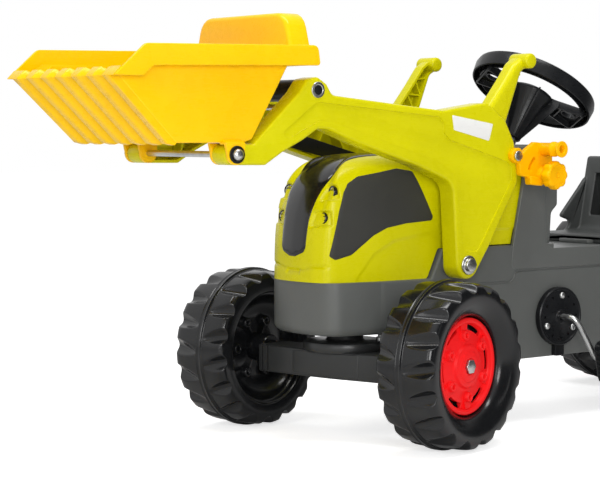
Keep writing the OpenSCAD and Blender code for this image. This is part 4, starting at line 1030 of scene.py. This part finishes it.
def arm_ribs():
    rows = [bar(a, b, RIB_WIDE, ARM_IN + 4, ARM_OUT - 3) for line in ZIGZAG for a, b in zip(line, line[1:])]
    bosses = [moved(turned([(bore, 0), (r, 0), (r, 24), (bore, 24)], 40), along_y(x, ARM_IN, z))
              for (x, z), bore, r in BOSSES]
    return joined(*rows, *bosses)


# %% Handle: a rounded post, hollow and ribbed on its inner side, with a short round-ended bar on top
POST = [(-196, 420), (-228, 500), (-243, 508), (-231, 523), (-214, 511), (-194, 485), (-165, 450),
        (-160, 425)]
POST_ROUND = [4, 14, 9, 9, 12, 20, 8, 4]
POST_ZIGZAG = [(-169, 446), (-203, 444), (-188, 472), (-213, 470), (-203, 493), (-226, 496)]


def grip():
    end = [(GRIP_R - 4 + 4 * math.sin(t), 4 - 4 * math.cos(t)) for t in np.linspace(0, math.pi / 2, 6)]
    line = [(0.001, 0)] + end + [(r, 38 - y) for r, y in end[::-1]] + [(0.001, 38)]
    tube_part = moved(turned(line, 40), along_y(GRIP[0], ARM_IN - 5, GRIP[1]))
    ribs = [bar(a, b, RIB_WIDE, 90, 105) for a, b in zip(POST_ZIGZAG, POST_ZIGZAG[1:])]
    return joined(tube_part, *ribs)


# %% Both arms
def build_arm(side, tag):
    mirror = on_side(side)
    body = make_object(f"arm_{tag}", mirror(pillow(ARM, ARM_ROUND, ARM_IN, ARM_OUT, 1.0, 4.0)))
    hollow = pillow(inset(ARM[::-1], ARM_WALL), 2.0, ARM_IN - 3, ARM_OUT - ARM_WALL, 0, 1.5)
    field = pillow(FIELD, FIELD_ROUND, ARM_OUT - 2.2, ARM_OUT + 1.5, 0.7, 0)
    holes = [pin(*place, bore, 70, 125) for place, bore, _ in BOSSES if place != STOP]
    carve(body, *(mirror(cutter) for cutter in (hollow, field, *holes)))
    post = make_object("post", mirror(pillow(POST, POST_ROUND, 87, 108, 1.2, 7.5, 6)))
    carve(post, mirror(pillow(POST, POST_ROUND, 80, 103.5, 0, 2, grow=-4.0)))
    merge(body, post, make_object("more", mirror(joined(arm_ribs(), grip()))))
    dress(body, f"loader_arm_{tag}", crease=40)


for side, tag in SIDES:
    build_arm(side, tag)

# %% Blank label on the proud corner, both sides
LABEL = [(-92.3, 439.7), (-167.4, 427.8), (-160.2, 404.7), (-96, 419.6)]
label = both(pillow(LABEL, 1.5, ARM_OUT - 0.5, ARM_OUT + 0.35, 0, 0.3))
dress(make_object("label_blank", label), "loader_arm_left", stands_in=False, crease=60,
      slot="lamp_clear", finish="label_film")

# %% [markdown]
# ## Bucket
# The scoop is one yellow moulding. A body that narrows downwards hangs in a wider rim; the step between
# them is a shelf that ends at the front as a toothed cutting lip. Seven broad ribs stiffen the sloping
# floor and run out into the teeth, a hollow guard stands behind, and four ears hold the rod. The body is
# a tapered prism with its inside cut out; the repeat tree sets the ribs in a row, and they are then fanned
# to the body's taper.

# %% Body: half its width grows with height, as draft for the mould
BUCKET_HALF, SHEET = 130.0, 4.0
BODY = [(434.3, 484.5), (404, 503), (184, 503), (236, 408), (249, 404), (349.5, 404)]
BODY_ROUND = [0, 0, 0, 8, 8, 8]


def body_half(z):
    return 109.5 + (z - 405) * 0.078


def tapered(outline, less):
    points, faces = plate(outline, -1.0, 1.0)
    half = body_half(points[:, 2]) - less
    return np.column_stack([points[:, 0], points[:, 1] * half, points[:, 2]]), faces


scoop = make_object("scoop", tapered(rounded(BODY, BODY_ROUND, 5), 0))
soften(scoop, 2.2, 3, 50, clamp=False)
inside = inset(BODY, SHEET)
inside[1], inside[2] = (430, 540), (186, 540)
inside[0] = inside[0] + (4.2, 4.0)
carve(scoop, tapered(rounded(inside, [0, 0, 0, 7, 7, 7], 5), SHEET))


# %% One rib up the sloping floor, then seven of them side by side, fanned to the taper
MID_HALF, RIB_END = 112.0, 111.2
RIB_STEP = (2 * MID_HALF - 14.6) / 6
LIP_Z = 484.0


def floor_rib():
    heel, high = np.array((348.5, 403.5)), np.array((434.0, LIP_Z))
    way = (high - heel) / np.linalg.norm(high - heel)
    out, length = np.array((way[1], -way[0])), np.linalg.norm(high - heel)
    side = [(RIB_STEP / 2, -1.5), (RIB_STEP / 2, 0.2), (9.6, 6.6), (8.0, 8.0), (5.8, 8.8)]
    section = [(-y, h) for y, h in side] + side[::-1]
    rings = []
    for s in np.linspace(0, 1.085, 14):
        tall = float(smooth(-0.02, 0.07, s)) ** 0.5
        ring = []
        for y, h in section:
            x, z = heel + way * s * length + out * (h * tall if h > 0 else h)
            ring.append((x, y, min(z, LIP_Z)))
        rings.append(ring)
    return stacked(rings)


ribs = repeated(floor_rib(), 7, step=(0, RIB_STEP, 0), slot="bucket_yellow")
fan = np.clip(ribs[0][:, 1], -RIB_END, RIB_END) * body_half(ribs[0][:, 2]) / MID_HALF
ribs = (np.column_stack([ribs[0][:, 0], fan, ribs[0][:, 2]]), ribs[1])


# %% Lip: a blade whose edge is scooped out between the ribs, so that they end as teeth
def lip_strip():
    rings = []
    for y in np.linspace(3.0 - BUCKET_HALF, BUCKET_HALF - 3.0, 241):
        phase = abs((y / (RIB_STEP * 1.037) + 0.5) % 1 - 0.5)
        gone = 9.5 * float(smooth(0.2, 0.36, phase)) * (abs(y) < 110)
        rings.append([(424, y, 483.5), (447.5 - gone, y, 483.8), (446.8 - gone, y, 485.4),
                      (437.5 - 0.75 * gone, y, 494.5 - 0.3 * gone),
                      (434.5 - 0.6 * gone, y, 494.8 - 0.35 * gone), (424, y, 489)])
    return stacked(rings)


# %% Rim: side bands, the shelf under them, and the rear block that carries the guard
BAND = [(447.7, 483.8), (404, 522), (147.5, 526), (143.5, 500.5), (391, 496), (397, 493), (408, 483.4)]
band = both(pillow(BAND, [1, 11, 8, 4, 5, 5, 5], BUCKET_HALF - 4.5, BUCKET_HALF, 0.8, 1.6))
SHELF = [(147, 501), (391, 496.4), (406, 483.8), (446, 484), (441, 488.5), (408, 488), (393, 500.5),
         (147, 505)]
shelf = both(plate(SHELF, 108.5, BUCKET_HALF - 1.5))
REAR_RIM = [(191, 524.5), (148, 525.5), (144.1, 501), (191, 499.5)]
rear_rim = pillow(REAR_RIM, [2, 5, 3, 0], 2 - BUCKET_HALF, BUCKET_HALF - 2, 0.5, 0.5)


# %% Guard: a hollow, rounded box, drawn in front view and pulled along the toy
def across(shape):
    """A plate drawn in front view: its outline lies across the toy and it is pulled along X."""
    return shape[0][:, [1, 0, 2]], shape[1]


GUARD = [(109, 512), (92, 568), (-92, 568), (-109, 512)]
guard = make_object("guard", across(pillow(GUARD, [0, 25, 25, 0], 142, 174, 1.5, 6.0)))
GUARD_IN = [(104, 508), (88, 564), (-88, 564), (-104, 508)]
carve(guard, across(pillow(GUARD_IN, [0, 21, 21, 0], 135, 170, 0, 4.0)))

# %% Ears either side of each arm's nose
EAR = arc(WRIST, 13, 0.1, -math.pi - 0.1, 13) + [(WRIST[0] - 14, 403.5), (WRIST[0] + 16, 403.5)]
ears = both(joined(*(pillow(EAR, 0, y, y + 5, 0.9, 0.9, 3) for y in (ARM_IN - 5.4, ARM_OUT + 0.4))))
CHEEK = [(ARM_OUT + 5.2, 402), (ARM_OUT + 4, 404.6), (108, 408.5), (104, 408.5), (104, 402)]
cheeks = both(across(pillow(CHEEK, 1, WRIST[0] - 13.6, WRIST[0] + 15.6, 0.8, 0.8)))
merge(scoop, guard, make_object("more", joined(ribs, lip_strip(), band, shelf, rear_rim, ears, cheeks)))
dress(scoop, "bucket", crease=40)

# %% [markdown]
# ## Chassis and dash
# The chassis is a trough with a rounded nose, blow-moulded and open below. Seen from the side it is one
# outline; seen from above, a U. Both are pulled into solids and only what they share is kept; then the
# inside, the bearings and a long seam groove are cut out. The dash is a second moulding that hooks over the
# chassis, stands a little proud of hood and chassis, and ends at that groove.

# %% Chassis outline, its U in plan, and the rounding under the nose
CHASSIS = [(92, 146), (92, 218), (-87, 218), (-107, 258), (-321, 258), (-321, 250), (-700, 250), (-862, 228),
           (-862, 150), (-810, 108), (-560, 96), (-250, 95), (-160, 146)]
CHASSIS_ROUND = [0, 0, 3, 3, 0, 0, 30, 16, 20, 30, 60, 24, 14]
CHASSIS_HALF, CHASSIS_WALL, UNDER_R, BOX_LOW = 80.0, 4.0, 12.0, 146.0
CHASSIS_PLAN = ((87, 0), (86, 20), (83, 42), (78.5, 56), (72, 64.5), (64, 69.3), (50, 72.6), (25, 77),
                (0, 79.5), (-15, 80))
chassis_plan = spline(CHASSIS_PLAN)[0]


def plan_solid(shrink, z_low, z_high):
    """The U pulled up, with the nose drawn in below as a quarter round."""
    curve = [BOX_LOW + UNDER_R * (1 - math.cos(t)) for t in np.linspace(0.3, math.pi / 2, 6)]
    rings = []
    for z in [z_low, BOX_LOW] + curve + [216.4, SEAM_Z, z_high]:
        gone = UNDER_R + BOX_LOW - max(z, BOX_LOW)
        d = shrink + (UNDER_R - math.sqrt(max(0, UNDER_R ** 2 - gone ** 2)) if gone > 0 else 0)
        half, side = CHASSIS_HALF - d, CHASSIS_HALF - shrink
        y = half * np.sin(np.linspace(math.pi / 2, -math.pi / 2, 91))
        x = np.interp(np.abs(y) / half, chassis_plan[:, 1] / CHASSIS_HALF, chassis_plan[:, 0]) - d
        tail = np.array([(-880, side), (-160, side), (-100, half)])
        line = np.vstack([tail, np.stack([x, y], 1), tail[::-1] * (1, -1)])
        rings.append(np.column_stack([line, np.full(len(line), z)]))
    return stacked(rings)


# %% Cut the trough out of it, then bearings, steering hole and the seam groove
COLUMN_TOP, COLUMN_TILT = (-360.5, 0.0, 488.5), math.radians(31)
column = Matrix.Translation(COLUMN_TOP) @ Matrix.Rotation(-COLUMN_TILT, 4, "Y")
CRANK, REAR_AXLE = (-325.0, 153.0), (-735.0, 153.0)
SEAM = [(-100, 206), (-232, 206), (-240, 212), (-243, 220), (-252, 221.5), (-700, 221.5), (-862, 214)]
TROUGH = [(100, 40), (100, 214), (-89, 214), (-109, 254), (-317, 254), (-317, 246), (-698, 246), (-858, 224),
          (-858, 40)]
trough = make_object("trough", plate(TROUGH, CHASSIS_WALL - CHASSIS_HALF, CHASSIS_HALF - CHASSIS_WALL))
carve(trough, plan_solid(CHASSIS_WALL, 20, 300), operation="INTERSECT")
body = make_object("chassis_shell", pillow(CHASSIS, CHASSIS_ROUND, -CHASSIS_HALF, CHASSIS_HALF, 3.5, 3.5))
carve(body, plan_solid(0, 60, 300), operation="INTERSECT")
carve(body, shape_of(trough))
groove = rounded(SEAM, [0, 4, 4, 4, 6, 20, 0], 4)
for side in (1, -1):
    carve(body, tube([(x, side * (CHASSIS_HALF + 0.3), z) for x, z in groove], 2.3, 12))
carve(body, pin(*CRANK, 14, -100, 100), pin(*REAR_AXLE, 12, -100, 100), pin(*PIVOT, 5.1, -120, 120),
      moved(rod(12, -420, 0), column))
kingpin_sleeve = shifted(turned([(9, 0), (21, 0), (21, 71), (9, 71)], 40), z=BOX_LOW)
boss = turned([(5.1, 0), (18, 0), (18, 6.5), (16.5, 8), (5.1, 8)], 40)
bosses = both(moved(boss, along_y(PIVOT[0], 75.7, PIVOT[1])))
merge(body, make_object("more", joined(kingpin_sleeve, bosses)))
dress(body, "chassis_body", crease=42)

# %% Dash: side plates that hook over the chassis, and a narrower block behind
DASH = [(-235, 223), (-238.5, 258), (-269, 398), (-286, 399), (-300, 384), (-300, 325), (-305, 258),
        (-316, 251), (-700, 251), (-700, 223)]
DASH_ROUND = [8, 0, 4, 4, 4, 0, 4, 3, 2, 2]
FILL = [(-258, 252), (-282, 396), (-298, 382), (-298, 325), (-304, 252)]
BLOCK = [(-292, 392), (-326, 360), (-334, 345), (-334, 312), (-322, 301), (-318.6, 250), (-290, 250)]
CORE = [(-249, 259), (-275, 398), (-286, 399), (-299, 384), (-299, 259)]
dash = make_object("dash", pillow(CORE, [0, 4, 4, 4, 0], -71, 71, 0.5, 0.5))
rear_block = make_object("rear_block", pillow(BLOCK, [3, 6, 8, 6, 8, 3, 0], -73, 73, 4, 4))
steering_hole = moved(rod(8.6, -420, 0), column)
for solid in (dash, rear_block):
    carve(solid, steering_hole)
sides = both(joined(pillow(DASH, DASH_ROUND, 75.4, 80.6, 0.5, 1.6), plate(FILL, 70, 78)))
merge(dash, rear_block, make_object("dash_sides", sides))
dress(dash, "dash_pillar", crease=40)

# %% [markdown]
# ## Steering wheel
# A black moulding, open below: a channel-shaped rim, two spokes like shallow trays with a finger hole each,
# and a deep hub with gussets that grips the steel column. It is built flat round its own axle and then set
# on the tilted column, because every one of its forms is round or pulled along that axle.


# %% Shapes drawn in plan and pulled upwards
def upright(shape):
    """Turns a plate drawn in side view so that its outline lies flat and its thickness runs along Z."""
    return shape[0][:, [0, 2, 1]], shape[1]


# %% Rim channel and hub, turned
RIM = [(76.4, -5), (78.2, -22.4), (79.2, -24), (80.8, -23.4), (80.0, -8), (82.5, -4), (88.2, -4), (90.8, -7),
       (89.6, -23.4), (90.6, -24.2), (91.9, -23), (93.4, -8), (91.8, -2.6), (87.4, 0), (80.4, 0),
       (77.6, -1.6)]
HUB = [(9, -94), (10.5, -95), (12, -94), (12.6, -88), (16, -74), (21, -55), (28, -34), (33, -24), (34, -21.5),
       (33.4, -19), (31, -17.6), (27, -17.4), (26.4, -19), (9, -19)]
wheel_rim, hub = turned(RIM, 144), turned(HUB, 72)
gusset = plate([(9.5, -92), (12.5, -92), (46, -29), (46, -22), (20, -22)], -1.1, 1.1)
gussets = repeated(gusset, 6, turn=60)

# %% Spokes: two trays joined at the hub, with finger holes and their collars
BOW = [(-79, -35), (-31, -17), (31, -17), (79, -35), (79, 35), (31, 17), (-31, 17), (-79, 35)]
BOW_ROUND = [4, 42, 42, 4, 4, 42, 42, 4]
HOLE_X, HOLE_R = 61.5, 9.5
bow = make_object("spokes", upright(pillow(BOW, BOW_ROUND, -29, -17.6, 0.6, 1.2)))
carve(bow, upright(pillow(inset(BOW, 2.4), BOW_ROUND, -34, -20.4, 0, 1.0)))
for x in (HOLE_X, -HOLE_X):
    carve(bow, shifted(rod(HOLE_R, -40, 5, 36), x))
COLLAR = [(HOLE_R - 0.2, -23), (HOLE_R + 1.6, -23), (HOLE_R + 2.0, -19), (HOLE_R - 0.2, -17.6)]
collar = turned(COLLAR, 36)
collars = joined(shifted(collar, HOLE_X), shifted(collar, -HOLE_X))
cross_rib = plate([(-1, -28), (1, -28), (1, -19), (-1, -19)], -18, 18)
cross_ribs = joined(shifted(cross_rib, 46), shifted(cross_rib, -46))

# %% Set it all on the column
turned_spokes = column @ Matrix.Rotation(math.radians(149), 4, "Z")
spokes = moved(joined(shape_of(bow), collars, cross_ribs), turned_spokes)
wheel = joined(moved(joined(wheel_rim, hub, gussets), column), spokes)
dress(make_object("hand_wheel", wheel), "steering_wheel", crease=36)
CAP = [(0.01, -13.8), (9, -14), (18, -14.8), (19.4, -15.6), (20.8, -14.9), (24.6, -15.6), (26, -17.2),
       (26, -19), (0.01, -19)]
dress(make_object("hub_cap", moved(turned(CAP, 60), column)), "steering_cap", crease=36)
dress(from_cad("column_rod", "steering_column", soft=0.8), "steering_column")

# %% [markdown]
# ## Front axle
# A bowed black beam that swings about the kingpin. Its front is a plain curved face with a thicker middle
# and two saw-cut grooves near each end; below it is hollow with cross ribs. A round table on top rubs
# against the chassis. It is drawn in plan and pulled upwards, in a frame turned by the steering angle.

# %% Beam with grooves, hollow below
STEER = math.radians(13.14)
axle = Matrix.Translation((0, 0, 112.5)) @ Matrix.Rotation(STEER, 4, "Z")
BEAM = [(40, -122), (47, 0), (40, 122), (24, 128), (-18, 128), (-24, 0), (-18, -128), (24, -128)]
BEAM_ROUND = [4, 300, 4, 4, 4, 200, 4, 4]
beam = make_object("beam", moved(upright(pillow(BEAM, BEAM_ROUND, -28, 9, 3, 2.5)), axle))
HOLLOWS = ((-13, 34, 62, 118), (-15, 37, 24, 58), (-15, 37, -58, -24), (-13, 34, -118, -62))
hollows = [upright(pillow([(x0, y0), (x1, y0), (x1, y1), (x0, y1)], 2, -33, -10, 0, 1.5))
           for x0, x1, y0, y1 in HOLLOWS]
grooves = [upright(plate([(34, y), (66, y), (66, y + 2.2), (34, y + 2.2)], -40, 40))
           for y in (103, 113, -105.2, -115.2)]
carve(beam, *(moved(shape, axle) for shape in hollows + grooves))
carve(beam, moved(rod(5.3, 0, 280), axle @ along_y(0, -140, 0)))
THICK = [(44.6, -57), (48.6, 0), (44.6, 57), (33, 57), (33, -57)]
thick = upright(pillow(THICK, [2, 200, 2, 0, 0], -25, 7, 1.5, 1.5))
TABLE = [(9.2, 7), (55, 7), (57.2, 9.5), (58, 12), (58, 17), (56.6, 20), (53.6, 21), (28, 21), (26, 22),
         (25, 24), (25, 33), (9.2, 33)]
table = turned(TABLE, 96)
merge(beam, make_object("more", moved(joined(thick, table), axle)))
dress(beam, "axle_beam", crease=40, finish="axle_nylon")

# %% [markdown]
# ## Pedal drive
# The pedals sit on one bent steel rod that runs through bearing plates on both sides of the chassis. The
# plates are black mouldings with a raised edge, a ring of moulding dimples and a strap below. The pedals
# are fat rounded blocks with tread ridges, so that a small shoe doesn't slip off.


# %% A path with rounded bends, for rods
def bent(points, radius, steps=8):
    points = [np.array(p, float) for p in points]
    out = [points[0]]
    for a, b, c in zip(points, points[1:], points[2:]):
        u, w = (a - b) / np.linalg.norm(a - b), (c - b) / np.linalg.norm(c - b)
        half = math.acos(np.clip(u @ w, -1, 1)) / 2
        reach = radius / math.tan(half)
        middle = b + (u + w) / np.linalg.norm(u + w) * radius / math.sin(half)
        s, e = b + u * reach - middle, b + w * reach - middle
        sweep = math.acos(np.clip(s @ e / radius ** 2, -1, 1))
        out += [middle + (math.sin((1 - t) * sweep) * s + math.sin(t * sweep) * e) / math.sin(sweep)
                for t in np.linspace(0, 1, steps + 1)]
    return out + [points[-1]]


# %% Bent pedal rod
THROW, LEAN = 80.0, math.radians(35)
CRANK_OUT, ROD_END = 118.0, 205.0
LEFT = (CRANK[0] - THROW * math.sin(LEAN), CRANK[1] - THROW * math.cos(LEAN))
RIGHT = (2 * CRANK[0] - LEFT[0], 2 * CRANK[1] - LEFT[1])
corners = [(RIGHT, -ROD_END), (RIGHT, -CRANK_OUT), (CRANK, -CRANK_OUT), (CRANK, CRANK_OUT), (LEFT, CRANK_OUT),
           (LEFT, ROD_END)]
rod_path = bent([(p[0], y, p[1]) for p, y in corners], 13)
dress(soften(make_object("pedal_rod", tube(rod_path, 4.4, 24)), 0.8, 2, 60), "crank_rod", crease=50)

# %% Bearing plates with dimples and strap
PLATE = [(5.2, 76), (13.6, 76), (13.6, 80), (41, 80), (42, 81), (42, 88.6), (40.6, 90), (38.6, 90),
         (37.4, 88.8), (12, 88.8), (9.6, 89.6), (8.4, 91), (8.0, 92), (5.2, 92)]
STRAP = [(CRANK[0] - 9, 96), (CRANK[0] + 9, 96), (CRANK[0] + 9, 125), (CRANK[0] - 9, 125)]
on_crank = along_y(CRANK[0], 0, CRANK[1])
dimple = turned([(0.01, 86.5), (2.2, 86.5), (2.6, 95), (0.01, 95)], 16)
dimples = repeated(shifted(dimple, 31), 12, turn=30)
for side, tag in SIDES:
    flip = on_side(side)
    disc = make_object(f"bearing_plate_{tag}", flip(moved(turned(PLATE, 96), on_crank)))
    carve(disc, flip(moved(dimples, on_crank)))
    merge(disc, make_object("strap", flip(pillow(STRAP, [3, 3, 0, 0], 80, 88, 0, 1))))
    dress(disc, f"crank_plate_{tag}", crease=40)

# %% Domed screw heads, seated on the plates
HEAD = [(0.01, 2.7), (2.6, 2.3), (4.2, 1.2), (5.0, 0), (5.0, -1.2), (0.01, -1.2)]
screws = []
for degrees in (95, 215, 335):
    a = math.radians(degrees)
    place = along_y(CRANK[0] + 30 * math.cos(a), 90, CRANK[1] + 30 * math.sin(a))
    screws.append(moved(turned(HEAD, 24), place))
heads = make_object("screw_heads", both(joined(*screws)))
dress(heads, "plate_screws", crease=50)


# %% Pedals
def pedal(tip):
    """A rounded block along Y, with ridges on its two long faces."""
    block = pillow([(15, -33), (15, 33), (-15, 33), (-15, -33)], 14, 126, 200, 6, 8, 5)
    ridge = pillow([(14, -1.6), (17.2, -0.9), (17.2, 0.9), (14, 1.6)], 0.5, 133, 191, 1, 1, 2)
    ridges = repeated(ridge, 7, step=(0, 0, 7.0))
    turn = Matrix.Translation((tip[0], 0, tip[1])) @ Matrix.Rotation(math.radians(12), 4, "Y")
    ridges = joined(ridges, moved(ridges, Matrix.Rotation(math.pi, 4, "Y")))
    return block, ridges, turn


for side, tag, tip in ((1, "left", LEFT), (-1, "right", RIGHT)):
    flip = on_side(side)
    block, ridges, turn = pedal(tip)
    tread = make_object(f"pedal_block_{tag}", flip(moved(block, turn)))
    carve(tread, flip(pin(*tip, 5.4, 100, 220)))
    merge(tread, make_object("ridges", flip(moved(ridges, turn))))
    dress(tread, f"pedal_{tag}", crease=40)

# %% [markdown]
# ## Loader lock
# An amber bracket on the left arm holds the loader up or lets it down: a plate with a curved slot, a hollow
# spool to pull on, and a star knob that clamps it. The plate is an outline pulled sideways; the knob is a
# stack of wavy rings, wide in the middle and drawn in at both faces.

# %% Bracket: plate, slot, spool and the knob's seat
EAR_AT, SPOOL, KNOB = (-206.0, 384.0), (-255.0, 393.0), (-257.0, 357.0)
TAB = [(-216, 386), (-214, 395), (-205, 395), (-196, 388), (-196, 380), (-204, 374), (-211, 374), (-212, 357),
       (-228, 354), (-240, 347), (-268, 343), (-275, 360), (-274, 384), (-264, 401), (-240, 403), (-222, 392)]
LOWER_TAB = [(-238, 355), (-227, 357), (-229, 344), (-252, 342), (-256, 354)]
bracket = make_object("bracket", pillow(TAB, 5, ARM_OUT, 121.1, 0.6, 1.6))
slot_line = rounded(arc(KNOB, 27, 0.25, 0.95, 9) + arc(KNOB, 32, 0.95, 0.25, 9), 1.0, 2)
carve(bracket, plate(slot_line, 116, 130), pin(*EAR_AT, 3.2, 100, 130), pin(*KNOB, 4.3, 100, 140))
SPOOL_LINE = [(9, 0), (9, 26), (10.5, 28), (10.5, 32), (9, 34), (9, 41), (11, 43), (11.4, 45), (10.4, 46),
              (6, 46), (5, 44.5), (5, 16), (0.01, 16), (0.01, 0)]
SEAT_LINE = [(4.3, 0), (14.5, 0), (13, 8), (12, 19), (11, 20), (4.3, 20)]
spool = moved(turned(SPOOL_LINE, 40), along_y(SPOOL[0], ARM_OUT, SPOOL[1]))
knob_seat = moved(turned(SEAT_LINE, 40), along_y(KNOB[0], ARM_OUT, KNOB[1]))
lower_tab = pillow(LOWER_TAB, 3, ARM_OUT, 125, 0.6, 1.5)
merge(bracket, make_object("more", joined(spool, knob_seat, lower_tab)))
dress(bracket, "lock_bracket", crease=40)


# %% Star knob: wavy rings from back to front, with a dished face
def star_knob(lobes=8, size=20.0, thick=16.0):
    angles = np.linspace(0, 2 * math.pi, 96, endpoint=False)
    levels = [(0.15, 0.0, 0), (0.80, 0.0, 0.6), (0.92, 1.0, 0.9), (0.985, 3.0, 1), (1.0, 6.0, 1),
              (1.0, 11.0, 1), (0.985, 13.6, 1), (0.93, 15.2, 0.9), (0.84, thick, 0.5), (0.74, thick, 0.1),
              (0.70, 14.9, 0), (0.2, 14.6, 0), (0.15, 13.2, 0), (0.02, 13.0, 0)]
    rings = []
    for share, y, wave in levels:
        r = share * (size - 1.9 * wave * (0.5 - 0.5 * np.cos(lobes * angles)) ** 1.4 * 1.3)
        rings.append([(q * math.cos(a), q * math.sin(a), y) for q, a in zip(r, angles)])
    stud = turned([(0.01, -19), (4, -19), (4, 1), (0.01, 1)], 24)
    return joined(stacked(rings), stud)


dress(make_object("star_knob", moved(star_knob(), along_y(KNOB[0], 133.5, KNOB[1]))), "lock_knob", crease=40)

# %% [markdown]
# ## Seat, hitch and small hardware
# Most of these shapes are already right in the CAD model, so each is a copy with its flats merged and its
# edges rounded: a wide round on the seat, as the mould would leave, and a fine one on turned and stamped
# steel. Only the rod's caps and the tube's end washers are drawn anew.

# %% Seat and the larger black mouldings
dress(from_cad("seat_shell", "seat", soft=3.0, segments=3, clamp=False), "seat", crease=40)
dress(from_cad("hitch", "tow_hitch", soft=2.0, segments=3), "tow_hitch", crease=40)
dress(from_cad("rail", "seat_rail", soft=1.2), "seat_rail", crease=40)

# %% Turned and stamped parts, one object for each CAD piece
SMALL = {"kingpin": 0.8, "loader_pivot_rod": 0.5, "pivot_caps": 1.2, "rear_axle_bushes": 0.8,
         "drive_chain": 0.6, "front_axle_rod": 0.5, "front_nuts": 0.7, "link_pin": 0.6, "drag_link": 0.8,
         "rear_axle": 0.6, "drive_sprocket": 0.4, "rear_nuts": 0.7, "chainring": 0.4, "seat_screw": 0.8,
         "cross_sleeve": 1.0, "tube_plugs": 0.5, "stop_rod": 0.5, "arm_cover_left": 1.0,
         "arm_cover_right": 1.0, "lock_bolt": 1.0, "bucket_rod": 0.5, "rod_bushes": 0.6}
for node, width in SMALL.items():
    dress(from_cad(f"{node}_soft", node, soft=width), node, crease=35)

# %% Push-on caps at the ends of the bucket's rod: low domes, smaller than the black bushes under them
cap_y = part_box("rod_bushes")[1].y * 1000
CAP_R, CAP_RISE = 7.4, 5.0
dome = [(max(CAP_R * math.sin(t), 0.001), 0.8 + CAP_RISE * math.cos(t))
        for t in np.linspace(0, math.pi / 2, 9)]
dome += [(CAP_R, -0.6), (0.001, -0.6)]
caps = both(moved(turned(dome, 48), along_y(WRIST[0], cap_y, WRIST[1])))
dress(make_object("dome_caps", caps), "rod_caps", crease=40)

# %% Steel tube through the elbows, with a pressed washer round each end
tube_ends = from_cad("tube", "cross_tube", soft=0.7)
washer = [(6.4, 0.2), (10.2, -0.4), (10.4, 0.6), (9.8, 1.4), (7.2, 1.6), (6.4, 1.2)]
washers = both(moved(turned(washer, 48), along_y(ELBOW[0], ARM_OUT, ELBOW[1])))
merge(tube_ends, make_object("washers", washers))
dress(tube_ends, "cross_tube", crease=40)
